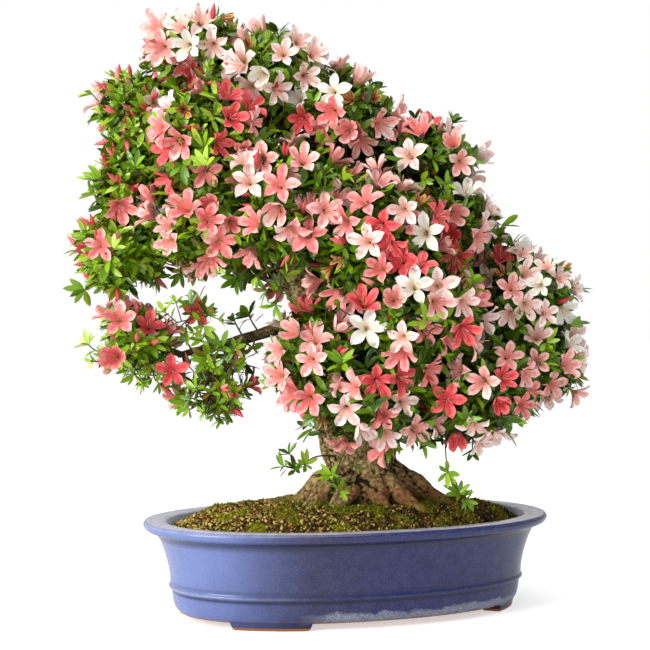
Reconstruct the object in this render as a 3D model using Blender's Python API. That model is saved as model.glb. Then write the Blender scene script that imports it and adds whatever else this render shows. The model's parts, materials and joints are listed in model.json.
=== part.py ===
"""Satsuki azalea bonsai in its oval glazed pot.

Metres, +Z up, the front towards -Y, the origin under the middle of the whole plant at the level it
stands on. The trunk leans left as it rises, boughs leave it for the outer crown, and each mass of
foliage is one solid: a stem, twigs, leaves and blossom fused, round a core where it is dense.
"""

import math
import random
from dataclasses import dataclass

import bmesh
import bpy
import numpy as np
from mathutils import Matrix, Vector

# Driving sizes of the pot: an oval a little squarer than an ellipse, turned to the viewer
POT_LENGTH = 0.460
POT_DEPTH = 0.296
POT_HEIGHT = 0.1045
POT_SQUARENESS = 2.15
POT_TURN = math.radians(18.7)
POT_CENTRE = Vector((0.023, 0.0, 0.0))
POT_SEGMENTS = 32
WALL_BOTTOM = 0.0075
WALL = 0.009
FLOOR = 0.016
LIP_WIDTH = 0.026
FOOT_SINK = 0.006
FOOT_WIDTH = 0.020
# The stretch of the oval that each foot takes, in degrees round from its right end; each foot
# matches the one opposite
FEET = ((36, 69), (139, 167), (216, 249), (319, 347))
# The outside of the pot from the lip to the foot ring, as (inset from the rim, height)
POT_PROFILE = (
    (0.0020, POT_HEIGHT),
    (0.0000, 0.1010),
    (0.0030, 0.0955),
    (0.0120, 0.0918),
    (0.0185, 0.0830),
    (0.0245, 0.0660),
    (0.0278, 0.0520),
    (0.0292, 0.0388),
    (0.0277, 0.0354),
    (0.0281, 0.0330),
    (0.0306, 0.0312),
    (0.0322, 0.0210),
    (0.0345, 0.0125),
    (0.0390, WALL_BOTTOM),
)

# Soil: mounded from the lip's inner edge up to a flat crown that the trunk stands on
GAP = 0.0003
GROUND = 0.1160
SOIL_EDGE = 0.0960
# Rings of the mound, as (share of the way in from the wall, share of the way up to the ground)
MOUND = ((0.05, 0.26), (0.13, 0.62), (0.22, 0.88), (0.30, 1.0))

# Trunk: the line it follows from the soil to its tip, with its radius at each place
TRUNK_LINE = (
    ((0.041, 0.000, GROUND - 0.010), 0.050),
    ((0.037, 0.000, 0.150), 0.043),
    ((0.030, 0.002, 0.190), 0.041),
    ((0.012, 0.004, 0.250), 0.036),
    ((-0.014, 0.006, 0.330), 0.029),
    ((-0.050, 0.004, 0.420), 0.021),
    ((-0.092, 0.002, 0.505), 0.014),
    ((-0.134, 0.000, 0.596), 0.006),
)
TRUNK_STEPS = 14
# Root buttresses round the trunk's foot: heading in degrees (0 right, 270 to the front), how far
# each runs from the trunk's middle, the height it leaves the trunk at, and its radius there
ROOTS = (
    (6, 0.088, 0.147, 0.021),
    (322, 0.078, 0.141, 0.019),
    (283, 0.062, 0.143, 0.017),
    (240, 0.064, 0.146, 0.018),
    (205, 0.074, 0.150, 0.019),
    (172, 0.084, 0.148, 0.018),
    (130, 0.070, 0.145, 0.017),
    (88, 0.062, 0.145, 0.018),
    (46, 0.076, 0.143, 0.018),
)
ROOT_STEPS = 5
SURFACE_ROOT_REACH = 0.112
SURFACE_ROOT_HEADING = 176
KNOB_CENTRE = Vector((0.145, 0.035, GROUND))
KNOB_RADII = Vector((0.013, 0.010, 0.009))

# Foliage
LEAF = Vector((0.033, 0.0140, 0.0022))
LEAF_SUNK = 0.0045
FLOWER_RADIUS = 0.0215
FLOWER_DEPTH = 0.020
FLOWER_CUP = 0.006
PETAL_NOTCH = 0.50
TWIG_BASE, TWIG_TIP = 0.0030, 0.0018
STEM_TIP = 0.0035
SPACE_MARGIN = 0.0006
TWIG_OUT, FLOWER_OUT = 0.76, 0.88
TRAIL_LEAVES = 3
CORE_MARGIN = 0.004
CORE_FULL = 1.12
CORE_SUNK = 0.006
LIMB_MARGIN = 0.0015
SEED = 11


@dataclass(frozen=True)
class Bough:
    """One tapering limb: its parent, where it leaves it (a share of the parent's length), the mass
    it ends in, its radius at each end, how far its middle bends from the straight line, and the
    place inside the mass where it ends, unless it ends on the nearest side."""

    name: str
    parent: str
    leaves_at: float
    mass: str
    base: float
    tip: float
    bend: tuple = (0.0, 0.0, 0.012)
    steps: int = 6
    ends_at: tuple = ()


BOUGHS = (
    Bough("bough_low_left", "trunk", 0.565, "crown_low_left", 0.0085, 0.0040, (0.0, -0.004, -0.003), 9,
          (-0.168, -0.008, 0.282)),
    Bough("bough_hanging", "bough_low_left", 0.52, "crown_hanging", 0.0034, 0.0026, (0.004, 0, 0.0), 4),
    Bough("bough_left", "trunk", 0.61, "crown_left", 0.0080, 0.0042, (0.0, 0.0, 0.010)),
    Bough("bough_upper_left", "trunk", 0.70, "crown_upper_left", 0.0072, 0.0042),
    Bough("bough_top_left", "trunk", 0.86, "crown_top_left", 0.0056, 0.0040),
    Bough("bough_top_right", "trunk", 0.83, "crown_top_right", 0.0060, 0.0042),
    Bough("bough_shoulder", "trunk", 0.66, "crown_shoulder", 0.0078, 0.0045),
    Bough("bough_right_shoulder", "trunk", 0.52, "crown_right_shoulder", 0.0095, 0.0045),
    Bough("bough_right_upper", "trunk", 0.43, "crown_right_upper", 0.0100, 0.0048),
    Bough("bough_right", "trunk", 0.33, "crown_right", 0.0120, 0.0050),
    Bough("bough_right_low", "trunk", 0.25, "crown_right_low", 0.0115, 0.0048),
    Bough("bough_low_right", "bough_right_low", 0.42, "crown_low_right", 0.0060, 0.0045, (0, 0, 0.002), 4),
    Bough("bough_back_right", "trunk", 0.46, "back_right", 0.0080, 0.0048, (0.0, 0.006, 0.010), 5),
    Bough("bough_back_low_right", "bough_right_low", 0.50, "back_low_right", 0.0058, 0.0045, (0, 0, 0.004), 4),
    Bough("bough_front_right", "trunk", 0.50, "crown_right_front", 0.0070, 0.0046, (0.0, -0.004, 0.008), 5),
    Bough("bough_front_low", "trunk", 0.38, "crown_low_centre", 0.0085, 0.0048, (0.004, -0.006, 0.004), 5),
    Bough("bough_inner_left", "trunk", 0.63, "crown_inner_left", 0.0062, 0.0044, (0.0, -0.004, 0.006), 5),
    Bough("bough_back_upper", "trunk", 0.76, "back_upper", 0.0064, 0.0046, (0.0, 0.004, 0.006), 4),
)


@dataclass(frozen=True)
class Mass:
    """One mass of foliage: the ellipsoid it may fill, the limb its stem meets, how many leaves and
    flowers it carries, the share of its reach that its core fills, and tips it must reach."""

    name: str
    centre: tuple
    radii: tuple
    leaves: int = 15
    flowers: int = 4
    core: float = 0.68
    tips: tuple = ()


MASSES = (
    Mass("crown_tip", (-0.146, 0.000, 0.630), (0.058, 0.058, 0.046), 9, 3, tips=((-0.140, -0.004, 0.671),)),
    Mass("crown_top_left", (-0.224, 0.000, 0.577), (0.058, 0.058, 0.055), 9, 2,
         tips=((-0.273, -0.004, 0.553), (-0.232, 0, 0.622))),
    Mass("crown_top_right", (-0.059, -0.006, 0.597), (0.066, 0.068, 0.053), 7, 4,
         tips=((-0.012, -0.004, 0.634), (-0.075, 0.004, 0.643))),
    Mass("crown_shoulder", (0.009, -0.004, 0.542), (0.062, 0.070, 0.058), 8, 4, tips=((0.052, 0, 0.570),)),
    Mass("crown_upper_front", (-0.128, -0.060, 0.520), (0.064, 0.060, 0.058), 7, 4),
    Mass("crown_upper_left", (-0.227, -0.004, 0.476), (0.060, 0.064, 0.055), 10, 2,
         tips=((-0.277, -0.008, 0.486), (-0.262, 0.0, 0.512))),
    Mass("crown_right_shoulder", (0.108, 0.002, 0.493), (0.058, 0.064, 0.058), 8, 3,
         tips=((0.118, -0.004, 0.541), (0.152, 0.0, 0.497))),
    Mass("crown_middle_front", (-0.041, -0.074, 0.444), (0.070, 0.062, 0.064), 7, 5),
    Mass("crown_left", (-0.226, -0.004, 0.398), (0.062, 0.064, 0.054), 10, 2,
         tips=((-0.285, -0.006, 0.392), (-0.262, 0.004, 0.432))),
    Mass("crown_inner_left", (-0.134, -0.046, 0.421), (0.052, 0.054, 0.047), 7, 3),
    Mass("crown_right_front", (0.052, -0.078, 0.410), (0.068, 0.062, 0.064), 7, 4),
    Mass("crown_right_upper", (0.138, -0.006, 0.410), (0.058, 0.070, 0.053), 8, 4,
         tips=((0.176, -0.006, 0.436),)),
    Mass("crown_right", (0.224, 0.000, 0.352), (0.062, 0.072, 0.056), 9, 4,
         tips=((0.281, -0.006, 0.348), (0.226, 0.0, 0.402))),
    Mass("crown_right_low", (0.236, 0.004, 0.268), (0.056, 0.068, 0.055), 8, 4,
         tips=((0.288, -0.006, 0.262), (0.232, 0.004, 0.222))),
    Mass("crown_low_right", (0.150, -0.040, 0.246), (0.070, 0.070, 0.063), 7, 4,
         tips=((0.146, -0.030, 0.190),)),
    Mass("crown_low_centre", (0.088, -0.090, 0.322), (0.076, 0.060, 0.062), 8, 5),
    Mass("crown_low_front", (0.050, -0.064, 0.243), (0.066, 0.060, 0.054), 6, 4),
    Mass("crown_low_inner", (-0.014, -0.046, 0.282), (0.052, 0.060, 0.060), 8, 3),
    Mass("crown_low_left", (-0.213, -0.010, 0.296), (0.060, 0.058, 0.056), 9, 2, 0.0,
         tips=((-0.262, -0.012, 0.273), (-0.240, 0.0, 0.338))),
    Mass("crown_hanging", (-0.127, -0.010, 0.243), (0.058, 0.050, 0.052), 7, 1, 0.0,
         tips=((-0.116, -0.012, 0.192),)),
    Mass("back_upper", (-0.144, 0.074, 0.531), (0.078, 0.064, 0.072), 7, 4),
    Mass("back_middle", (-0.056, 0.084, 0.448), (0.080, 0.066, 0.072), 7, 4),
    Mass("back_right", (0.066, 0.084, 0.418), (0.080, 0.068, 0.074), 7, 4),
    Mass("back_low", (0.044, 0.084, 0.284), (0.088, 0.066, 0.076), 8, 4),
    Mass("back_low_right", (0.164, 0.070, 0.272), (0.072, 0.066, 0.070), 7, 4),
)
MASS = {mass.name: mass for mass in MASSES}

# A shoot from the trunk's left side, with a leaf cluster at its end
SHOOT_LEFT = ((0.010, -0.022, 0.172), (-0.014, -0.046, 0.173), (-0.034, -0.058, 0.160))
# Long twigs that trail out of a mass, as places they pass; they carry a whorl at each place
TRAILS = {
    "crown_low_right": ((0.126, -0.060, 0.205), (0.130, -0.066, 0.168), (0.148, -0.066, 0.136)),
    "crown_low_front": ((0.030, -0.086, 0.206), (0.020, -0.084, 0.172)),
}


def collection_of(name):
    """A new collection in the scene."""
    made = bpy.data.collections.new(name)
    bpy.context.scene.collection.children.link(made)
    return made


def material_of(name, colour, roughness):
    """A plain Principled material that isn't metal."""
    made = bpy.data.materials.new(name)
    made.use_nodes = True
    shader = made.node_tree.nodes["Principled BSDF"]
    shader.inputs["Base Color"].default_value = (*colour, 1.0)
    shader.inputs["Roughness"].default_value = roughness
    shader.inputs["Metallic"].default_value = 0.0
    made.diffuse_color = (*colour, 1.0)
    return made


def object_of(name, mesh, collection):
    """An object for a mesh, linked into a collection."""
    made = bpy.data.objects.new(name, mesh)
    collection.objects.link(made)
    return made


def mesh_from(shape, name):
    """A mesh holding a finished bmesh."""
    mesh = bpy.data.meshes.new(name)
    shape.to_mesh(mesh)
    shape.free()
    return mesh


def evaluated_mesh(thing):
    """The object's mesh after its modifiers or its bevel."""
    graph = bpy.context.evaluated_depsgraph_get()
    return bpy.data.meshes.new_from_object(thing.evaluated_get(graph))


def smooth_line(points, steps):
    """Evenly spaced places on a smooth curve through points, each a vector of any length."""
    points = [Vector(p) for p in points]
    ends = [2 * points[0] - points[1], *points, 2 * points[-1] - points[-2]]
    line = []
    for step in range(steps):
        along = step / (steps - 1) * (len(points) - 1)
        span = min(int(along), len(points) - 2)
        t = along - span
        a, b, c, d = ends[span:span + 4]
        line.append(0.5 * (2 * b + (c - a) * t + (2 * a - 5 * b + 4 * c - d) * t * t
                           + (3 * b - a - 3 * c + d) * t ** 3))
    return line


def tube(name, points, radii, collection, resolution=1):
    """A closed tapering tube: a bevelled curve with filled caps, made a mesh with its caps welded."""
    curve = bpy.data.curves.new(name, "CURVE")
    curve.dimensions = "3D"
    curve.fill_mode = "FULL"
    curve.bevel_depth = 1.0
    curve.bevel_resolution = resolution
    curve.render_resolution_u = 0
    curve.use_fill_caps = True
    spline = curve.splines.new("POLY")
    spline.points.add(len(points) - 1)
    for knot, place, radius in zip(spline.points, points, radii):
        knot.co = (*place, 1.0)
        knot.radius = radius
    holder = object_of(name, curve, collection)
    shape = bmesh.new()
    shape.from_mesh(evaluated_mesh(holder))
    bmesh.ops.remove_doubles(shape, verts=shape.verts, dist=1e-6)
    bmesh.ops.recalc_face_normals(shape, faces=shape.faces)
    bpy.data.objects.remove(holder)
    bpy.data.curves.remove(curve)
    return object_of(name, mesh_from(shape, name), collection)


def keep_largest(thing):
    """Drop loose scraps and fill sealed hollows: only the body with the widest box is kept. Bodies
    that meet at no more than a corner count as apart."""
    shape = bmesh.new()
    shape.from_mesh(thing.data)
    bmesh.ops.remove_doubles(shape, verts=shape.verts, dist=2e-6)
    bmesh.ops.dissolve_degenerate(shape, edges=shape.edges, dist=2e-6)
    unseen = set(shape.faces)
    islands = []
    while unseen:
        island, front = [], [unseen.pop()]
        while front:
            face = front.pop()
            island.append(face)
            for edge in face.edges:
                for other in edge.link_faces:
                    if other in unseen:
                        unseen.remove(other)
                        front.append(other)
        islands.append(island)

    def width(island):
        places = [vert.co for face in island for vert in face.verts]
        return sum(max(p[i] for p in places) - min(p[i] for p in places) for i in range(3))

    islands.sort(key=width)
    scraps = [face for island in islands[:-1] for face in island]
    bmesh.ops.delete(shape, geom=scraps, context="FACES")
    bmesh.ops.triangulate(shape, faces=shape.faces)
    shape.to_mesh(thing.data)
    closed = all(len(edge.link_faces) == 2 for edge in shape.edges)
    shape.free()
    return closed


def combine(base, others, operation, solver="EXACT"):
    """Apply one Boolean between an object and a collection, then keep the largest body."""
    cut = base.modifiers.new(operation.lower(), "BOOLEAN")
    cut.operation = operation
    cut.operand_type = "COLLECTION"
    cut.collection = others
    cut.solver = solver
    mesh = evaluated_mesh(base)
    base.modifiers.remove(cut)
    old, base.data = base.data, mesh
    closed = keep_largest(base)
    if not closed and solver == "EXACT":
        bpy.data.meshes.remove(base.data)
        base.data = old
        return combine(base, others, operation, "MANIFOLD")
    bpy.data.meshes.remove(old)
    return closed


def empty_collection(collection):
    """Remove every object of a collection and the collection itself."""
    for thing in list(collection.objects):
        bpy.data.objects.remove(thing)
    bpy.data.collections.remove(collection)


def finish_node(thing, parts, material, smooth=None):
    """Move a finished object into the parts collection and give it its material."""
    for holder in list(thing.users_collection):
        holder.objects.unlink(thing)
    parts.objects.link(thing)
    thing.data.materials.clear()
    thing.data.materials.append(material)
    if smooth is not None:
        thing.data.shade_smooth()
        thing.data.set_sharp_from_angle(angle=smooth)


def oval(inset, height, heading):
    """A point of the pot's oval, moved in from the rim, at a heading round its middle."""
    def share(value):
        return math.copysign(abs(value) ** (2 / POT_SQUARENESS), value)

    x = (POT_LENGTH / 2 - inset) * share(math.cos(heading))
    y = (POT_DEPTH / 2 - inset) * share(math.sin(heading))
    return Matrix.Rotation(POT_TURN, 3, "Z") @ Vector((x, y, height)) + POT_CENTRE


def loft(name, rings, collection):
    """A closed body through rings of points, with a flat cap on the first and last ring."""
    shape = bmesh.new()
    made = [[shape.verts.new(point) for point in ring] for ring in rings]
    count = len(made[0])
    for low, high in zip(made, made[1:]):
        for i in range(count):
            j = (i + 1) % count
            shape.faces.new((low[i], low[j], high[j], high[i]))
    shape.faces.new(reversed(made[0]))
    shape.faces.new(made[-1])
    bmesh.ops.recalc_face_normals(shape, faces=shape.faces)
    return object_of(name, mesh_from(shape, name), collection)


def pot_ring(inset, height):
    """One ring of the pot's oval."""
    return [oval(inset, height, 2 * math.pi * i / POT_SEGMENTS) for i in range(POT_SEGMENTS)]


def inner_wall(height):
    """The inset of the pot's inner wall at a height, following the flare of the outer one."""
    top, bottom = LIP_WIDTH, POT_PROFILE[-1][0] + WALL * 0.5
    share = (POT_HEIGHT - height) / (POT_HEIGHT - FLOOR)
    return top + (bottom - top) * share ** 0.6


def build_pot(parts):
    """The pot: a lofted shell with a rolled lip and a belt, and four feet fused under it."""
    outside = [pot_ring(inset, height) for inset, height in reversed(POT_PROFILE)]
    heights = (POT_HEIGHT - 0.0006, 0.085, 0.055, FLOOR)
    inside = [pot_ring(inner_wall(height), height) for height in heights]
    pot = loft("pot", outside + inside, parts)
    feet = collection_of("feet")
    outer, bottom = POT_PROFILE[-1][0] - 0.003, WALL_BOTTOM + FOOT_SINK
    steps = 5
    for first, last in FEET:
        def corner(inset, height, i, trim):
            share = trim + (1 - 2 * trim) * i / (steps - 1)
            return oval(inset, height, math.radians(first + (last - first) * share))

        rings = []
        for inset, height, trim in ((outer + 0.003, 0.0, 0.06), (outer, bottom, 0.0)):
            ring = [corner(inset, height, i, trim) for i in range(steps)]
            ring += [corner(inset + FOOT_WIDTH, height, i, trim) for i in reversed(range(steps))]
            rings.append(ring)
        loft("foot", rings, feet)
    combine(pot, feet, "UNION")
    empty_collection(feet)
    finish_node(pot, parts, material_of("blue_glaze", (0.105, 0.125, 0.42), 0.22), math.radians(40))


def build_soil(parts):
    """The root ball and soil, filling the pot with a small gap and mounded up to the trunk."""
    rings = []
    for height in (FLOOR + GAP, 0.055, 0.085, SOIL_EDGE):
        rings.append(pot_ring(inner_wall(height) + GAP, height))
    edge = inner_wall(SOIL_EDGE) + GAP
    for inward, upward in MOUND:
        height = SOIL_EDGE + (GROUND - GAP - SOIL_EDGE) * upward
        middle = POT_CENTRE + Vector((0, 0, height))
        ring = [oval(edge, height, 2 * math.pi * i / POT_SEGMENTS) for i in range(POT_SEGMENTS)]
        rings.append([point.lerp(middle, inward) for point in ring])
    soil = loft("soil", rings, parts)
    finish_node(soil, parts, material_of("mossy_soil", (0.10, 0.085, 0.025), 0.95), math.radians(30))


@dataclass
class Limb:
    """The line and radii of a limb that is already laid out."""

    points: list
    radii: list

    def at(self, share):
        """The place, radius and heading at a share of the limb's length."""
        along = share * (len(self.points) - 1)
        i = min(int(along), len(self.points) - 2)
        t = along - i
        place = self.points[i].lerp(self.points[i + 1], t)
        radius = self.radii[i] + (self.radii[i + 1] - self.radii[i]) * t
        return place, radius, (self.points[i + 1] - self.points[i]).normalized()

    def samples(self, spacing=0.003):
        """Places along the limb with the radius there, as rows of x, y, z and radius."""
        length = sum((b - a).length for a, b in zip(self.points, self.points[1:]))
        count = max(2, int(length / spacing))
        spots = [self.at(i / count) for i in range(count + 1)]
        return np.array([(*place, radius) for place, radius, _ in spots])


def trunk_limb():
    """The trunk's line, with its radius."""
    line = smooth_line([(*place, radius) for place, radius in TRUNK_LINE], TRUNK_STEPS)
    return Limb([Vector(p[:3]) for p in line], [p[3] for p in line])


def root_limbs(trunk):
    """The buttress roots and the root that runs on over the soil."""
    middle = Vector(TRUNK_LINE[0][0])
    roots = []
    for heading, reach, leaves_at, radius in ROOTS:
        out = Vector((math.cos(math.radians(heading)), math.sin(math.radians(heading)), 0.0))
        start = middle + out * 0.020 + Vector((0, 0, leaves_at - middle.z))
        knee = middle + out * reach * 0.68 + Vector((0, 0, GROUND + 0.012 - middle.z))
        end = middle + out * reach + Vector((0, 0, GROUND - 0.004 - middle.z))
        line = smooth_line((start, knee, end), ROOT_STEPS)
        roots.append(Limb(line, [radius * (1 - 0.62 * i / (ROOT_STEPS - 1)) for i in range(ROOT_STEPS)]))
    heading = math.radians(SURFACE_ROOT_HEADING)
    out = Vector((math.cos(heading), math.sin(heading), 0.0))
    ground = Vector((middle.x, middle.y, GROUND))
    line = [ground + out * SURFACE_ROOT_REACH * share for share in (0.55, 0.75, 1.0)]
    roots.append(Limb(line, [0.009, 0.007, 0.0035]))
    return roots


def build_trunk_solid(name, trunk, roots, grow, collection):
    """The trunk and its roots as one solid cut flat at the ground, made wider by grow all round."""
    base = tube(name, trunk.points[:-1] + [trunk.points[-1] + trunk.at(1.0)[2] * grow],
                [radius + grow for radius in trunk.radii], collection, resolution=3)
    buttresses = collection_of("buttresses")
    for root in roots:
        tube("root", root.points, [radius + grow for radius in root.radii], buttresses, resolution=1)
    combine(base, buttresses, "UNION")
    empty_collection(buttresses)
    below = collection_of("below_ground")
    shape = bmesh.new()
    bmesh.ops.create_cube(shape, size=1.0)
    bmesh.ops.scale(shape, vec=(0.6, 0.6, 0.1), verts=shape.verts)
    bmesh.ops.translate(shape, vec=(0, 0, GROUND - 0.05), verts=shape.verts)
    object_of("ground_cut", mesh_from(shape, "ground_cut"), below)
    combine(base, below, "DIFFERENCE")
    empty_collection(below)
    return base


def build_knob(parts):
    """The old root knob half out of the soil, behind and right of the trunk."""
    shape = bmesh.new()
    bmesh.ops.create_icosphere(shape, subdivisions=2, radius=1.0)
    bmesh.ops.scale(shape, vec=KNOB_RADII, verts=shape.verts)
    bmesh.ops.bisect_plane(shape, geom=shape.verts[:] + shape.edges[:] + shape.faces[:],
                           plane_co=(0, 0, 0), plane_no=(0, 0, -1), clear_outer=True)
    bmesh.ops.holes_fill(shape, edges=shape.edges)
    bmesh.ops.recalc_face_normals(shape, faces=shape.faces)
    bmesh.ops.translate(shape, vec=KNOB_CENTRE, verts=shape.verts)
    knob = object_of("root_knob", mesh_from(shape, "root_knob"), parts)
    finish_node(knob, parts, material_of("root_wood", (0.16, 0.085, 0.05), 0.85))


class Space:
    """The room that one mass keeps to: its ellipsoid, cut by a flat boundary towards each
    neighbour, so that no two masses can meet."""

    def __init__(self, mass):
        self.mass = mass
        self.centre = Vector(mass.centre)
        self.walls = []
        for other in MASSES:
            if other is mass:
                continue
            way = Vector(other.centre) - self.centre
            out = way.normalized()
            mine, theirs = self.ellipsoid(mass, out), self.ellipsoid(other, -out)
            if way.length < 1.5 * (mine + theirs):
                self.walls.append((out, way.length * mine / (mine + theirs)))

    @staticmethod
    def ellipsoid(mass, out):
        """The distance from a mass's middle to its ellipsoid along a heading."""
        return 1 / math.sqrt(sum((out[i] / mass.radii[i]) ** 2 for i in range(3)))

    def reach(self, out, margin=SPACE_MARGIN):
        """How far this space runs from its middle along a heading."""
        far = self.ellipsoid(self.mass, out)
        for wall, distance in self.walls:
            slope = out.dot(wall)
            if slope > 1e-6:
                far = min(far, (distance - margin) / slope)
        return far

    def core_reach(self, out):
        """How far the dense core runs: a share of the ellipsoid in the open, and up to the flat
        boundary where a neighbour is near."""
        full = self.ellipsoid(self.mass, out)
        walls = [(distance - CORE_MARGIN) / out.dot(wall) for wall, distance in self.walls
                 if out.dot(wall) > 0.05]
        nearest = min(walls, default=2 * full)
        faces_neighbour = min(max((1.45 - nearest / full) / 0.35, 0.0), 1.0)
        share = self.mass.core + (CORE_FULL - self.mass.core) * faces_neighbour
        return min(share * full, nearest)

    def open_towards(self, out):
        """Whether the space ends in open air along a heading, and not against a neighbour."""
        tip = self.centre + out * self.ellipsoid(self.mass, out)
        return all((tip - self.centre).dot(wall) < distance + 0.004 for wall, distance in self.walls)

    def holds(self, points):
        """Whether every point is inside, clear of the boundary."""
        return all((p - self.centre).length < 1e-9
                   or (p - self.centre).length <= self.reach((p - self.centre).normalized())
                   for p in points)


def bough_limb(bough, limbs):
    """The line of a bough from its parent's middle to the edge of the mass it ends in."""
    start = limbs[bough.parent].at(bough.leaves_at)[0]
    space = Space(MASS[bough.mass])
    back = (start - space.centre).normalized()
    share = 0.86 if space.mass.core else 0.80
    end = Vector(bough.ends_at) if bough.ends_at else space.centre + back * space.reach(back) * share
    middle = start.lerp(end, 0.5) + Vector(bough.bend)
    line = smooth_line((start, middle, end), bough.steps)
    taper = [i / (bough.steps - 1) for i in range(bough.steps)]
    return Limb(line, [bough.base + (bough.tip - bough.base) * t for t in taper])


def grown(limb, grow):
    """The limb's line and radii made wider by grow, and longer by it at the tip."""
    tip = limb.points[-1] + limb.at(1.0)[2] * grow
    return limb.points[:-1] + [tip], [radius + grow for radius in limb.radii]


def across(way):
    """Two headings square to a given one."""
    side = way.cross(Vector((0, 0, 1)) if abs(way.z) < 0.9 else Vector((1, 0, 0))).normalized()
    return side, way.cross(side).normalized()


def frame_at(place, way, roll):
    """The matrix that puts +Z along a heading, turned about it by roll."""
    return Matrix.Translation(place) @ way.to_track_quat("Z", "Y").to_matrix().to_4x4() \
        @ Matrix.Rotation(roll, 4, "Z")


def leaf_shape(place, way, roll):
    """A lens-like leaf of eight faces, growing from a place along a heading."""
    shape = bmesh.new()
    bmesh.ops.create_uvsphere(shape, u_segments=4, v_segments=2, radius=0.5)
    bmesh.ops.scale(shape, vec=(LEAF.y, LEAF.z, LEAF.x), verts=shape.verts)
    bmesh.ops.translate(shape, vec=(0, 0, LEAF.x / 2), verts=shape.verts)
    shape.transform(frame_at(place, way, roll))
    return shape


def flower_shape(place, way, roll):
    """A funnel with a five-pointed rim, its throat at the place, opening along a heading."""
    shape = bmesh.new()
    bmesh.ops.create_cone(shape, cap_ends=True, cap_tris=True, segments=10,
                          radius1=0.0, radius2=FLOWER_RADIUS, depth=FLOWER_DEPTH)
    bmesh.ops.remove_doubles(shape, verts=shape.verts, dist=1e-5)
    rim = sorted((v for v in shape.verts if v.co.xy.length > 0.001),
                 key=lambda v: math.atan2(v.co.y, v.co.x))
    for notch in rim[::2]:
        notch.co.xy *= PETAL_NOTCH
        notch.co.z -= 0.002
    for vert in shape.verts:
        if vert.co.xy.length < 0.001 and vert.co.z > 0:
            vert.co.z -= FLOWER_CUP
    bmesh.ops.translate(shape, vec=(0, 0, FLOWER_DEPTH / 2), verts=shape.verts)
    shape.transform(frame_at(place, way, roll))
    return shape


def twig_shape(start, end, base=TWIG_BASE, tip=TWIG_TIP):
    """A three-sided tapering twig between two places."""
    shape = bmesh.new()
    way = end - start
    bmesh.ops.create_cone(shape, cap_ends=True, segments=3, radius1=base, radius2=tip, depth=way.length)
    shape.transform(frame_at((start + end) / 2, way.normalized(), 0.0))
    return shape


def core_shape(space, rng):
    """The dense middle of a mass: a lumpy ball that follows the shape of its space."""
    shape = bmesh.new()
    bmesh.ops.create_icosphere(shape, subdivisions=2, radius=1.0)
    for vert in shape.verts:
        out = vert.co.normalized()
        vert.co = space.centre + out * space.core_reach(out) * rng.uniform(0.93, 1.0)
    return shape


def spread(count, rng):
    """Headings spread evenly over a sphere, each a little off its place, in a mixed order."""
    golden = math.pi * (3 - math.sqrt(5))
    turn = rng.uniform(0, 2 * math.pi)
    ways = []
    for i in range(count):
        z = 1 - 2 * (i + 0.5) / count
        flat = math.sqrt(1 - z * z)
        way = Vector((flat * math.cos(turn + golden * i), flat * math.sin(turn + golden * i), z))
        ways.append((way + Vector([rng.uniform(-0.15, 0.15) for _ in range(3)])).normalized())
    rng.shuffle(ways)
    return ways


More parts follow.
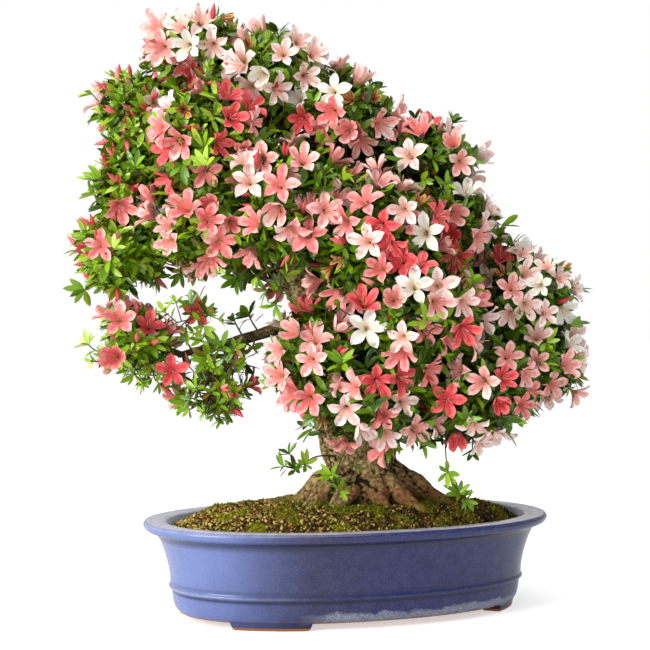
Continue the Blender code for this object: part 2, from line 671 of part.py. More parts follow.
class Foliage:
    """Grows one mass: the pieces are gathered in a collection and fused with one union."""

    def __init__(self, space, limbs, rng):
        self.space = space
        self.rng = rng
        self.pieces = collection_of("pieces_of_" + space.mass.name)
        samples = np.concatenate([limb.samples() for limb in limbs])
        far = np.linalg.norm(samples[:, :3] - np.array(space.centre), axis=1)
        self.limbs = samples[far < max(space.mass.radii) + 0.04]

    def clear(self, points):
        """Whether a piece stays in the space and off every limb."""
        if not self.space.holds(points):
            return False
        apart = np.array(points)[:, None, :] - self.limbs[None, :, :3]
        return bool((np.linalg.norm(apart, axis=2) > self.limbs[:, 3] + LIMB_MARGIN).all())

    def add(self, shape):
        """Keep a piece if there is room for it."""
        middle = sum((v.co for v in shape.verts), Vector()) / len(shape.verts)
        edges = [(e.verts[0].co + e.verts[1].co) / 2 for e in shape.edges]
        if not self.clear([v.co.copy() for v in shape.verts] + edges + [middle]):
            shape.free()
            return False
        self.keep(shape)
        return True

    def keep(self, shape):
        """Put a finished piece into the collection."""
        object_of("piece", mesh_from(shape, "piece"), self.pieces)

    def core_leaf(self, way):
        """One leaf rooted in the core and leaning over its surface."""
        side, other = across(way)
        turn, lean = self.rng.uniform(0, 2 * math.pi), self.rng.uniform(0.5, 0.95)
        out = side * math.cos(turn) + other * math.sin(turn)
        heading = (way * math.cos(lean) + out * math.sin(lean)).normalized()
        surface = self.space.centre + way * self.space.core_reach(way)
        return self.add(leaf_shape(surface - heading * CORE_SUNK, heading, self.flat_roll(heading, out)))

    def flat_roll(self, heading, out):
        """The roll that lays a leaf's blade flat to the outside, give or take a little."""
        flat = heading.cross(out).normalized()
        turned = heading.to_track_quat("Z", "Y").to_matrix() @ Vector((1, 0, 0))
        return self.rng.uniform(-0.3, 0.3) + math.atan2(turned.cross(flat).dot(heading), turned.dot(flat))

    def whorl(self, tip, way, count):
        """Leaves round a twig's tip, leaning out."""
        side, other = across(way)
        turn = self.rng.uniform(0, 2 * math.pi)
        made = 0
        for i in range(count):
            angle = turn + 2 * math.pi * i / count
            lean = self.rng.uniform(0.8, 1.3)
            out = side * math.cos(angle) + other * math.sin(angle)
            heading = (way * math.cos(lean) + out * math.sin(lean)).normalized()
            made += self.add(leaf_shape(tip - heading * LEAF_SUNK, heading, self.flat_roll(heading, out)))
        return made

    def twig(self, start, end, leaves):
        """A twig with a whorl of leaves at its tip; the space's edge may shorten it."""
        way = (end - start).normalized()
        for share in (1.0, 0.85, 0.7):
            tip = start.lerp(end, share)
            if not self.clear([tip, start.lerp(tip, 0.75)]):
                continue
            made = self.whorl(tip - way * 0.002, way, leaves)
            if made:
                self.keep(twig_shape(start, tip))
                return made
        return 0

    def trail(self, places, radius=0.0024):
        """A long twig out of the mass, with a whorl of leaves at each place it passes."""
        line = smooth_line((self.space.centre, *places), 2 * len(places) + 1)
        taper = [radius * (1 - 0.3 * i / (len(line) - 1)) for i in range(len(line))]
        tube("piece", line, taper, self.pieces, resolution=0)
        for i in range(2, len(line), 2):
            way = (line[i] - line[i - 1]).normalized()
            side, other = across(way)
            for k in range(TRAIL_LEAVES):
                angle = 2 * math.pi * k / TRAIL_LEAVES + self.rng.uniform(-0.3, 0.3)
                heading = (way * 0.5 + side * math.cos(angle) + other * math.sin(angle)).normalized()
                root = line[i] - way * 0.002 - heading * LEAF_SUNK * 0.5
                self.keep(leaf_shape(root, heading, self.rng.uniform(0, math.pi)))


def grow_dense(foliage):
    """Twigs, leaves and flowers standing out of a core."""
    space, mass, rng = foliage.space, foliage.space.mass, foliage.rng
    foliage.keep(core_shape(space, rng))
    left, flowers = mass.leaves, mass.flowers
    for tip in mass.tips:
        tip = Vector(tip)
        way = (tip - space.centre).normalized()
        foliage.keep(twig_shape(space.centre, tip - way * 0.020))
        left -= foliage.add(leaf_shape(tip - way * (LEAF.x + 0.001), way, rng.uniform(0, math.pi)))
        left -= foliage.whorl(tip - way * 0.022, way, 2)
    open_ways = [way for way in spread(70, rng) if space.open_towards(way)]
    for i, way in enumerate(open_ways):
        if flowers > 0 and i % 2 == 0:
            throat = space.centre + way * (space.reach(way) * FLOWER_OUT - FLOWER_DEPTH)
            if foliage.add(flower_shape(throat, way, rng.uniform(0, math.pi))):
                flowers -= 1
                continue
        if left <= 0:
            continue
        if left > 4 and i % 6 == 1:
            left -= foliage.twig(space.centre, space.centre + way * space.reach(way) * TWIG_OUT, 3)
        else:
            left -= foliage.core_leaf(way)


def grow_open(foliage, stem):
    """An airy mass: twigs leave the stem in turn, and fork, with leaves at their tips."""
    space, mass, rng = foliage.space, foliage.space.mass, foliage.rng
    left, flowers = mass.leaves, mass.flowers
    for tip in mass.tips:
        tip = Vector(tip)
        start = stem.at(0.6)[0]
        way = (tip - start).normalized()
        foliage.keep(twig_shape(start, tip - way * 0.012))
        left -= foliage.add(leaf_shape(tip - way * (LEAF.x + 0.001), way, rng.uniform(0, math.pi)))
        left -= foliage.whorl(tip - way * 0.016, way, 2)
    for i, way in enumerate(spread(40, rng)):
        if left <= 0 and flowers <= 0:
            break
        start = stem.at(0.25 + 0.7 * ((i * 0.618) % 1.0))[0]
        end = space.centre + way * space.reach(way) * TWIG_OUT
        if (end - start).length < 0.018:
            continue
        heading = (end - start).normalized()
        throat = end - heading * FLOWER_DEPTH * 0.7
        if flowers > 0 and i % 3 == 0 and foliage.add(flower_shape(throat, heading, 0.0)):
            foliage.keep(twig_shape(start, throat + heading * 0.005))
            flowers -= 1
        elif left > 0:
            left -= foliage.twig(start, end, 3)


def build_mass(mass, number, limbs, carriers, clearances, parts, material):
    """One mass of foliage as a single solid, clear of every limb."""
    rng = random.Random(SEED * 1000 + number)
    space = Space(mass)
    carrier = limbs.get(carriers.get(mass.name), limbs["trunk"])
    if mass.name in carriers:
        start, radius, way = carrier.at(1.0)
        start = start - way * 0.002
    elif mass.name == "crown_tip":
        start, radius, way = limbs["trunk"].at(1.0)
        start = start - way * 0.002
    else:
        start, radius, way = min((carrier.at(i / 60) for i in range(61)),
                                 key=lambda spot: (spot[0] - space.centre).length - spot[1])
        radius = 0.0065
    end = space.centre
    if not mass.core:
        end = space.centre + (space.centre - start).normalized() * 0.018
    points = smooth_line((start, start.lerp(end, 0.5) + Vector((0, 0, 0.002)), end), 4)
    radii = [radius + (STEM_TIP - radius) * i / 3 for i in range(4)]
    stem = Limb(points, radii)
    foliage = Foliage(space, limbs.values(), rng)
    base = tube(mass.name, points, radii, parts, resolution=0)
    if mass.core:
        grow_dense(foliage)
    else:
        grow_open(foliage, stem)
    if mass.name in TRAILS:
        foliage.trail(TRAILS[mass.name])
    combine(base, foliage.pieces, "UNION", "MANIFOLD")
    empty_collection(foliage.pieces)
    closed = combine(base, clearances, "DIFFERENCE", "MANIFOLD")
    if not closed:
        print(mass.name, "is not closed")
    finish_node(base, parts, material)
    return base


def build_shoot(clearances, parts, material):
    """The lone shoot on the trunk, with leaves half way and at its tip."""
    rng = random.Random(SEED)
    points = smooth_line(SHOOT_LEFT, 5)
    base = tube("shoot_left", points, [0.0028 - 0.0003 * i for i in range(5)], parts, resolution=0)
    pieces = collection_of("pieces_of_shoot")
    for i, count in ((2, 3), (4, 5)):
        way = (points[i] - points[i - 1]).normalized()
        side, other = across(way)
        for k in range(count):
            angle = 2 * math.pi * k / count + rng.uniform(-0.3, 0.3)
            heading = (way * 0.45 + side * math.cos(angle) + other * math.sin(angle)).normalized()
            root = points[i] - way * 0.002 - heading * LEAF_SUNK * 0.5
            shape = leaf_shape(root, heading, rng.uniform(0, math.pi))
            object_of("leaf", mesh_from(shape, "leaf"), pieces)
    combine(base, pieces, "UNION", "MANIFOLD")
    empty_collection(pieces)
    combine(base, clearances, "DIFFERENCE", "MANIFOLD")
    finish_node(base, parts, material)


def main():
    """Build every node."""
    for thing in list(bpy.data.objects):
        bpy.data.objects.remove(thing)
    parts = collection_of("satsuki_azalea_bonsai")
    cutters = collection_of("cutters")
    bark = material_of("bark", (0.19, 0.125, 0.08), 0.85)
    foliage = material_of("foliage_and_blossom", (0.42, 0.20, 0.12), 0.55)

    build_pot(parts)
    build_soil(parts)
    build_knob(parts)

    limbs = {"trunk": trunk_limb()}
    roots = root_limbs(limbs["trunk"])
    trunk = build_trunk_solid("trunk", limbs["trunk"], roots, 0.0, parts)
    finish_node(trunk, parts, bark, math.radians(50))
    build_trunk_solid("trunk_clearance", limbs["trunk"], roots, GAP, cutters)

    for bough in BOUGHS:
        limbs[bough.name] = limb = bough_limb(bough, limbs)
        node = tube(bough.name, limb.points, limb.radii, parts)
        combine(node, cutters, "DIFFERENCE")
        finish_node(node, parts, bark, math.radians(50))
        tube(bough.name + "_clearance", *grown(limb, GAP), cutters)

    carriers = {bough.mass: bough.name for bough in BOUGHS}
    for number, mass in enumerate(MASSES):
        build_mass(mass, number, limbs, carriers, cutters, parts, foliage)
    build_shoot(cutters, parts, foliage)
    for thing in cutters.objects:
        thing.hide_render = True
        thing.display_type = "WIRE"


main()
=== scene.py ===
"""Looks of the satsuki azalea bonsai in its oval glazed pot.

Metres, +Z up, the front towards -Y. The pot, the limbs and the room that each mass of foliage may
fill follow the same named sizes and the same seeded rule as the solids, carried to finer twigs.
"""

import json
import logging
import math
from dataclasses import dataclass, field
from enum import Enum
from functools import cached_property
from random import Random

import bmesh
import bpy
import numpy as np
from mathutils import Matrix, Vector, noise

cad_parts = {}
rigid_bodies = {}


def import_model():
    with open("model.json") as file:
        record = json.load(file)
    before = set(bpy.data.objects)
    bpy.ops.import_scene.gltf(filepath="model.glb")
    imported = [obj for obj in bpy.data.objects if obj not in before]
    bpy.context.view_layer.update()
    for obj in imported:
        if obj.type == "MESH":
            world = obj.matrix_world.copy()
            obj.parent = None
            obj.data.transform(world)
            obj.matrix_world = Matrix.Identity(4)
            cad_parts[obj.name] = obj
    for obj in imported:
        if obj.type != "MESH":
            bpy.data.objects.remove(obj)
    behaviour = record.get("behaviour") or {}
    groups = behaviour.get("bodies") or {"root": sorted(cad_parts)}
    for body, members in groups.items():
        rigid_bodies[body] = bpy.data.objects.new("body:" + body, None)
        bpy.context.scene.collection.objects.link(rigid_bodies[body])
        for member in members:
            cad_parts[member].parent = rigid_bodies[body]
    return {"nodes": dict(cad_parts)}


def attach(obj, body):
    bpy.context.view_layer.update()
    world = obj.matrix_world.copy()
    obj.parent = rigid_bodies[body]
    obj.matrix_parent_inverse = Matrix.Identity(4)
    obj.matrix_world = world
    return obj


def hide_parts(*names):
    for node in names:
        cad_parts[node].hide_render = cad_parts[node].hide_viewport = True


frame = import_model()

Socket = bpy.types.NodeSocket
Piece = bpy.types.Object
Finish = bpy.types.Material
Shape = bmesh.types.BMesh
Tree = bpy.types.NodeTree
Array = np.ndarray

log = logging.getLogger("azalea_bonsai")

SEED = 11
TURN = 2 * math.pi
# The soil's height at the trunk, and the gap that the solids keep below it
GROUND = 0.1160
GAP = 0.0003


class Region(Enum):
    """The part of the crown that a mass belongs to; each part has its own joined pieces."""

    UPPER = "upper"
    MIDDLE = "middle"
    LOWER = "lower"
    BACK = "back"


class Tint(Enum):
    """Colourings of a flower."""

    CORAL = "coral"
    SALMON = "salmon"
    PINK = "pink"
    PALE = "pale"
    WHITE = "white"
    FADED = "faded"


def screen(*shown: float) -> tuple:
    """A colour as light, from the red, green and blue that a screen shows, 0 to 255."""
    shares = [value / 255 for value in shown]
    return tuple(s / 12.92 if s <= 0.04045 else ((s + 0.055) / 1.055) ** 2.4 for s in shares)


def shades(*colours: tuple) -> tuple:
    """Several screen colours as light."""
    return tuple(screen(*colour) for colour in colours)


def held(value: float, low: float = 0.0, high: float = 1.0) -> float:
    """A value kept between two limits."""
    return min(max(value, low), high)


def peak(value: float, middle: float, half: float) -> float:
    """1 at the middle, falling evenly to 0 at half the width on either side."""
    return max(0.0, 1 - abs(value - middle) / half)


def upward(height: float) -> Vector:
    """A step straight up."""
    return Vector((0, 0, height))


def level_way(angle: float) -> Vector:
    """The level heading at an angle from +X, in radians."""
    return Vector((math.cos(angle), math.sin(angle), 0.0))


def swing(first: Vector, second: Vector, angle: float) -> Vector:
    """The heading at an angle from the first of two square headings towards the second."""
    return first * math.cos(angle) + second * math.sin(angle)


def stray(rng: Random, off: float) -> Vector:
    """A step by chance, up to a length along each axis."""
    return Vector([rng.uniform(-off, off) for _ in range(3)])


def pick(rng: Random, weights: dict) -> object:
    """One key of a dict of weights, by chance."""
    return rng.choices(list(weights), list(weights.values()))[0]


def rough(place: Vector, scale: float, octaves: int = 3) -> float:
    """Layered noise at a place, about -1 to 1."""
    return noise.fractal(place * scale, 0.9, 2.0, octaves)


def across(way: Vector) -> tuple[Vector, Vector]:
    """Two headings square to a given one."""
    side = way.cross(Vector((0, 0, 1)) if abs(way.z) < 0.9 else Vector((1, 0, 0))).normalized()
    return side, way.cross(side).normalized()


def smooth_line(points: list, steps: int) -> list[Vector]:
    """Evenly spaced places on a smooth curve through points.

    Args:
        points: Vectors of any one length.
        steps: How many places to return.

    Returns:
        The places, from the first point to the last.
    """
    points = [Vector(p) for p in points]
    ends = [2 * points[0] - points[1], *points, 2 * points[-1] - points[-2]]
    line = []
    for step in range(steps):
        along = step / (steps - 1) * (len(points) - 1)
        span = min(int(along), len(points) - 2)
        t = along - span
        a, b, c, d = ends[span:span + 4]
        line.append(0.5 * (2 * b + (c - a) * t + (2 * a - 5 * b + 4 * c - d) * t * t
                           + (3 * b - a - 3 * c + d) * t ** 3))
    return line


def spread(count: int, rng: Random, off: float = 0.15) -> list[Vector]:
    """Headings spread evenly over a sphere, each a little off its place, in a mixed order.

    Args:
        count: How many headings.
        rng: Seeded chance.
        off: How far a heading may stray.

    Returns:
        Unit vectors.
    """
    golden = math.pi * (3 - math.sqrt(5))
    turn = rng.uniform(0, TURN)
    ways = []
    for i in range(count):
        z = 1 - 2 * (i + 0.5) / count
        flat = math.sqrt(1 - z * z)
        way = Vector((flat * math.cos(turn + golden * i), flat * math.sin(turn + golden * i), z))
        ways.append((way + stray(rng, off)).normalized())
    rng.shuffle(ways)
    return ways


def make_piece(name: str, points: Array, faces: list, finishes: list,
               slots: Array | None = None, sharp: float | None = None) -> Piece:
    """A smooth-shaded mesh object from arrays.

    Args:
        name: The piece's name.
        points: Its corners.
        faces: Its faces as lists of corner numbers.
        finishes: Its materials in slot order.
        slots: The slot of each face, if not the first.
        sharp: The angle past which an edge stays sharp, if any does.

    Returns:
        The object, linked into the scene.
    """
    mesh = bpy.data.meshes.new(name)
    mesh.from_pydata(points.tolist(), [], faces)
    for finish in finishes:
        mesh.materials.append(finish)
    if slots is not None:
        mesh.polygons.foreach_set("material_index", np.asarray(slots, np.int32))
    mesh.shade_smooth()
    if sharp is not None:
        mesh.set_sharp_from_angle(angle=sharp)
    mesh.update()
    made = bpy.data.objects.new(name, mesh)
    bpy.context.scene.collection.objects.link(made)
    return made


def from_shape(name: str, shape: Shape, finish: Finish) -> Piece:
    """A smooth-shaded object from a bmesh.

    Args:
        name: The piece's name.
        shape: The bmesh, which is freed.
        finish: Its material.

    Returns:
        The object.
    """
    piece = make_piece(name, np.zeros((0, 3)), [], [finish])
    shape.to_mesh(piece.data)
    shape.free()
    piece.data.shade_smooth()
    return piece


def corners(mesh: bpy.types.Mesh, what: str = "co") -> Array:
    """The corners of a mesh as an array.

    Args:
        mesh: The mesh.
        what: "co" for their places or "normal" for their normals.

    Returns:
        One row a corner.
    """
    values = np.zeros(len(mesh.vertices) * 3)
    mesh.vertices.foreach_get(what, values)
    return values.reshape(-1, 3)


def between_rings(rings: int, around: int) -> list:
    """The quads between closed rings of corners, one ring after another."""
    return [[i * around + j, i * around + (j + 1) % around, (i + 1) * around + (j + 1) % around,
             (i + 1) * around + j] for i in range(rings - 1) for j in range(around)]


def mark(piece: Piece, name: str, values: Array) -> None:
    """Store a named number for each corner of a piece, for its material to read."""
    layer = piece.data.attributes.new(name, "FLOAT", "POINT")
    layer.data.foreach_set("value", np.asarray(values, np.float32))


def settle(piece: Piece, slot: str, *nodes: str) -> None:
    """Let a finished piece ride on the plant's one body, in place of the named solids.

    Args:
        piece: The finished piece.
        slot: The record's slot for its finish; not used.
        nodes: The solids that it stands for.
    """
    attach(piece, "root")
    if nodes:
        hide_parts(*nodes)
    triangles = sum(len(face.vertices) - 2 for face in piece.data.polygons)
    log.info("%s: %d triangles, in place of %d solids", piece.name, triangles, len(nodes))


@dataclass
class Pattern:
    """A small mesh that is copied many times: its corners, triangles and each one's colour zone."""

    points: Array
    triangles: Array
    zones: Array

    @classmethod
    def of(cls, points: list, faces: list, zones: list | None = None) -> "Pattern":
        """Cut faces into triangles.

        Args:
            points: The corners.
            faces: The faces.
            zones: Each face's colour zone, or None for zone 0.

        Returns:
            The pattern.
        """
        cut = [((face[0], *face[i:i + 2]), zone)
               for face, zone in zip(faces, zones or [0] * len(faces)) for i in range(1, len(face) - 1)]
        return cls(np.array(points, float), *(np.array(column) for column in zip(*cut)))


@dataclass
class Heap:
    """Placed copies of patterns, joined into one mesh."""

    points: list = field(default_factory=list)
    faces: list = field(default_factory=list)
    slots: list = field(default_factory=list)
    count: int = 0

    def add(self, pattern: Pattern, turns: Array, places: Array, first_slots: Array) -> None:
        """Add one copy of a pattern for each row of the arrays.

        Args:
            pattern: The pattern to copy.
            turns: Each copy's 3 by 3 matrix, which also scales it.
            places: Where each copy's origin goes.
            first_slots: Each copy's material slot for zone 0; other zones follow it.
        """
        copies, size = len(places), len(pattern.points)
        placed = np.einsum("kij,nj->kni", turns, pattern.points) + places[:, None, :]
        base = self.count + np.arange(copies)[:, None, None] * size
        self.points.append(placed.reshape(-1, 3))
        self.faces += (pattern.triangles[None] + base).reshape(-1, 3).tolist()
        self.slots.append((first_slots[:, None] + pattern.zones[None]).ravel())
        self.count += copies * size

    def deal(self, patterns: list, rows: list) -> None:
        """Add copies given one by one.

        Args:
            patterns: The patterns.
            rows: Each copy's pattern number, turn, place and first slot.
        """
        for number, pattern in enumerate(patterns):
            chosen = [row for row in rows if row[0] == number]
            if chosen:
                self.add(pattern, *(np.array([np.array(row[i]) for row in chosen]) for i in (1, 2, 3)))

    def add_tubes(self, paths: Array, radii: Array, sides: int) -> None:
        """Add tapering tubes that all have the same number of rings.

        Args:
            paths: The places each tube passes, as tubes by rings by 3.
            radii: The radius at each ring.
            sides: Each tube's sides.
        """
        tubes, rings = radii.shape
        along = np.gradient(paths, axis=1)
        along /= np.maximum(np.linalg.norm(along, axis=2, keepdims=True), 1e-9)
        least = np.abs(paths[:, -1] - paths[:, 0]).argmin(1)
        side = np.cross(np.eye(3)[least][:, None, :], along)
        side /= np.maximum(np.linalg.norm(side, axis=2, keepdims=True), 1e-9)
        other = np.cross(along, side)
        angle = TURN * np.arange(sides) / sides
        ring = (side[:, :, None] * np.cos(angle)[None, None, :, None]
                + other[:, :, None] * np.sin(angle)[None, None, :, None])
        placed = paths[:, :, None] + ring * radii[:, :, None, None]
        base = self.count + np.arange(tubes)[:, None, None] * rings * sides
        faces = (np.array(between_rings(rings, sides)).reshape(1, -1, 4) + base).reshape(-1, 4)
        self.points.append(placed.reshape(-1, 3))
        self.faces += faces.tolist()
        self.slots.append(np.zeros(len(faces), int))
        self.count += tubes * rings * sides

    def piece(self, name: str, finishes: list) -> Piece:
        """The joined mesh as an object, with its materials in slot order."""
        return make_piece(name, np.concatenate(self.points), self.faces, finishes, np.concatenate(self.slots))


def add_node(tree: Tree, kind: str, inputs: dict, **settings: object) -> bpy.types.Node:
    """Add a shader node to a tree.

    Args:
        tree: The tree.
        kind: The node's type, after "ShaderNode".
        inputs: What goes into its inputs, by name or number: a socket, a colour or a number.
        settings: Its other settings.

    Returns:
        The node.
    """
    node = tree.nodes.new("ShaderNode" + kind)
    for name, value in settings.items():
        setattr(node, name, value)
    for name, value in inputs.items():
        if isinstance(value, Socket):
            tree.links.new(value, node.inputs[name])
        else:
            node.inputs[name].default_value = (*value, 1.0) if isinstance(value, tuple) else value
    return node


class Shared:
    """What several finishes share: one node group, built once, and sums of values."""

    made: dict[str, Tree] = {}

    @classmethod
    def mottle(cls) -> Tree:
        """Cloudy patches: a noise pushed towards light and dark.

        Returns:
            The node group.
        """
        if "mottle" not in cls.made:
            tree = bpy.data.node_groups.new("mottle", "ShaderNodeTree")
            tree.interface.new_socket("Vector", in_out="INPUT", socket_type="NodeSocketVector")
            for label, value in (("Scale", 20.0), ("Detail", 4.0), ("Low", 0.35), ("High", 0.65)):
                socket = tree.interface.new_socket(label, in_out="INPUT", socket_type="NodeSocketFloat")
                socket.default_value = value
            tree.interface.new_socket("Value", in_out="OUTPUT", socket_type="NodeSocketFloat")
            given = tree.nodes.new("NodeGroupInput").outputs
            cloud = add_node(tree, "TexNoise", {name: given[name] for name in ("Vector", "Scale", "Detail")})
            reach = add_node(tree, "MapRange", {"Value": cloud.outputs["Fac"], "From Min": given["Low"],
                                                "From Max": given["High"]})
            tree.links.new(reach.outputs["Result"], tree.nodes.new("NodeGroupOutput").inputs["Value"])
            cls.made["mottle"] = tree
        return cls.made["mottle"]

    @staticmethod
    def sum(tree: Tree, operation: str, first: object, second: object) -> Socket:
        """One sum of two sockets or numbers, by a Math node's operation."""
        return add_node(tree, "Math", {0: first, 1: second}, operation=operation).outputs[0]


def camera_glow(tree: Tree, extra: float, base: float) -> Socket:
    """A strength that the camera sees greater by an extra than the light that it gives."""
    seen = add_node(tree, "LightPath", {}).outputs["Is Camera Ray"]
    return Shared.sum(tree, "ADD", Shared.sum(tree, "MULTIPLY", seen, extra), base)


class Dress:
    """One material under construction: its tree, its shader, its colour so far and short ways to
    add nodes."""

    def __init__(self, name: str, roughness: float, colour: object = None, **plain: float) -> None:
        """Start a material with plain values on its shader.

        Args:
            name: The material's name.
            roughness: Its plain roughness.
            colour: Its plain colour, if it has one.
            plain: Other plain inputs, with underscores for spaces.
        """
        self.material = bpy.data.materials.new(name)
        self.material.use_nodes = True
        self.tree = self.material.node_tree
        self.shader = self.tree.nodes["Principled BSDF"]
        for label, value in {"Roughness": roughness, **plain}.items():
            self.shader.inputs[label.replace("_", " ")].default_value = value
        self.colour = colour

    @cached_property
    def place(self) -> Socket:
        """The point on the object, in metres."""
        return add_node(self.tree, "TexCoord", {}).outputs["Object"]

    def axis(self, letter: str) -> Socket:
        """One coordinate of the point, X, Y or Z."""
        return add_node(self.tree, "SeparateXYZ", {"Vector": self.place}).outputs[letter]

    def mottle(self, scale: float, low: float = 0.35, high: float = 0.65, detail: float = 4.0) -> Socket:
        """The value of a mottle group: its noise's scale, what becomes 0 and 1, and its detail."""
        inputs = {"Vector": self.place, "Scale": scale, "Low": low, "High": high, "Detail": detail}
        return add_node(self.tree, "Group", inputs, node_tree=Shared.mottle()).outputs["Value"]

    def mix(self, share: object, first: object, second: object) -> Socket:
        """A colour between two, by a share of 0 to 1."""
        return add_node(self.tree, "Mix", {0: share, 6: first, 7: second}, data_type="RGBA").outputs[2]

    def lay(self, colour: object, share: Socket, amount: float | None = None) -> None:
        """Lay a colour over the one so far, by a share that is multiplied by any amount given."""
        share = share if amount is None else self.times(share, amount)
        self.colour = self.mix(share, self.colour, colour)

    def sum(self, operation: str, first: object, second: object) -> Socket:
        """One sum of two sockets or numbers, by a Math node's operation."""
        return Shared.sum(self.tree, operation, first, second)

    def times(self, first: object, second: object) -> Socket:
        """Two values multiplied, kept between 0 and 1."""
        settings = {"operation": "MULTIPLY", "use_clamp": True}
        return add_node(self.tree, "Math", {0: first, 1: second}, **settings).outputs[0]

    def apart(self, value: Socket, line: float) -> Socket:
        """How far a value is from a fixed one."""
        return self.sum("ABSOLUTE", self.sum("SUBTRACT", value, line), 0.0)

    def read(self, name: str) -> Socket:
        """A number stored on the mesh, by its name."""
        return add_node(self.tree, "Attribute", {}, attribute_name=name).outputs["Fac"]

    def ramp(self, value: Socket, low: float, high: float) -> Socket:
        """A value spread so that low is 0 and high is 1, and kept between them."""
        inputs = {"Value": value, "From Min": low, "From Max": high}
        return add_node(self.tree, "MapRange", inputs).outputs["Result"]

    def bump(self, height: Socket, strength: float, distance: float) -> None:
        """Raise the surface by a height of 0 to 1, where 1 is a distance in metres."""
        node = add_node(self.tree, "Bump", {"Height": height, "Strength": strength, "Distance": distance})
        self.tree.links.new(node.outputs["Normal"], self.shader.inputs["Normal"])

    def finish(self, roughness: Socket | None = None) -> Finish:
        """Connect the colour and roughness.

        Args:
            roughness: A socket for the roughness, or None to keep the plain one.

        Returns:
            The material.
        """
        target = self.shader.inputs["Base Color"]
        if isinstance(self.colour, tuple):
            target.default_value = self.material.diffuse_color = (*self.colour, 1.0)
        else:
            self.tree.links.new(self.colour, target)
        if roughness is not None:
            self.tree.links.new(roughness, self.shader.inputs["Roughness"])
        return self.material


@dataclass(frozen=True)
class GlazeFinish:
    """Blue glaze: lighter at the left, where it runs thin and where light is painted on, dark in hollows,
    where it pools and where shade is painted, and stained by lime.
    """

    # Dark pooled glaze, also laid as painted shade under the lip and belt, inside the pot and on the feet
    pooled_glaze_and_shade: tuple = screen(14, 16, 44)
    deep: tuple = screen(18, 26, 82)
    light: tuple = screen(108, 124, 178)
    broken: tuple = screen(112, 122, 180)
    # The edges' pale colour: glaze that breaks pale, laid only on the left as a painted highlight
    rim: tuple = screen(170, 174, 192)
    # Near white on the lip's top: a painted reflection of the bright room, over glaze that runs pale there
    lip: tuple = screen(236, 234, 242)
    lime: tuple = screen(176, 184, 196)
    clay: tuple = screen(158, 98, 56)
    smoke: tuple = screen(58, 52, 62)
    # Where along X the glaze turns from deep to light, partly thin glaze and partly painted light from the
    # left, and the middles of the smoky and limeless parts
    thin_and_lit_span: tuple = (-0.028, -0.168)
    smoky: float = -0.012
    limeless: float = -0.085
    foot_bare: float = 0.0032

    def build(self) -> Finish:
        """The glaze's material.

        Returns:
            The material.
        """
        dress = Dress("blue_glaze", 0.28, Coat_Weight=0.28, Coat_Roughness=0.06, Specular_IOR_Level=0.30)
        right, up = dress.axis("X"), dress.axis("Z")
        fine = dress.mottle(95.0, 0.30, 0.75, 6.0)
        drift = dress.sum("MULTIPLY", dress.mottle(11.0, 0.30, 0.70), -0.045)
        # Lighter towards the left and deeper towards the right: thin glaze, and painted light and shade from
        # the lamp on the left
        thin = dress.ramp(dress.sum("ADD", right, drift), *self.thin_and_lit_span)
        dress.colour = dress.mix(thin, self.deep, self.light)
        dress.lay(self.light, fine, 0.14)
        dress.lay(self.smoke, dress.ramp(dress.apart(right, self.smoky), 0.085, 0.0), 0.42)
        dress.lay(self.broken, dress.mottle(1000.0, 0.56, 0.70, 2.0), 0.36)
        dress.lay(self.pooled_glaze_and_shade, dress.mottle(800.0, 0.54, 0.74, 3.0), 0.34)
        # Pooled glaze, and painted shade under the lip and belt, inside the pot and on the feet
        dress.lay(self.pooled_glaze_and_shade, dress.ramp(dress.read("hollow"), 0.0, 1.0))
        # The lip's top near white, a painted reflection over pale glaze
        dress.lay(self.lip, dress.times(dress.read("lip"), dress.ramp(fine, -0.8, 1.0)), 0.90)
        # Edges paler on the left side only: glaze breaking over them, and a painted highlight where the light
        # falls
        edge = dress.times(dress.read("edge"), dress.ramp(fine, -0.5, 0.9))
        dress.lay(self.rim, dress.times(edge, dress.ramp(right, 0.00, -0.20)), 0.85)
        height = dress.sum("ADD", up, dress.sum("MULTIPLY", dress.mottle(75.0, 0.0, 1.0, 5.0), -0.014))
        band = dress.times(dress.ramp(height, 0.0000, 0.0030), dress.ramp(height, 0.0120, 0.0090))
        where = dress.times(dress.ramp(dress.apart(right, self.limeless), 0.050, 0.085),
                            dress.ramp(dress.mottle(9.0), -0.6, 0.7))
        crust = dress.times(dress.times(band, where), dress.mottle(820.0, 0.30, 0.66, 7.0))
        dress.lay(self.lime, crust, 0.80)
        foot = dress.ramp(up, self.foot_bare, self.foot_bare - 0.0006)
        bare = dress.sum("MAXIMUM", dress.read("bare"), foot)
        dress.lay(self.clay, bare)
        dress.bump(dress.mottle(240.0, 0.2, 0.8, 3.0), 0.10, 0.0004)
        return dress.finish(dress.ramp(dress.sum("MAXIMUM", crust, bare), -0.42, 1.25))


@dataclass(frozen=True)
class SoilFinish:
    """Damp soil between the grains, with cushions of moss."""

    gap: tuple = screen(24, 16, 6)
    earth: tuple = screen(96, 74, 32)
    shade: tuple = screen(64, 72, 12)
    moss: tuple = screen(150, 144, 30)

    def build(self) -> Finish:
        """The soil's material.

        Returns:
            The material.
        """
        dress = Dress("mossy_soil", 0.95, Specular_IOR_Level=0.1)
        dress.colour = dress.mix(dress.mottle(230.0, 0.38, 0.62, 6.0), self.gap, self.earth)
        green = dress.mix(dress.mottle(300.0, 0.34, 0.64, 6.0), self.shade, self.moss)
        dress.lay(green, dress.times(dress.ramp(dress.read("moss"), -0.05, 0.25),
                                     dress.mottle(150.0, 0.22, 0.48, 5.0)))
        dress.bump(dress.mottle(520.0, 0.3, 0.7, 5.0), 0.9, 0.0016)
        return dress.finish()


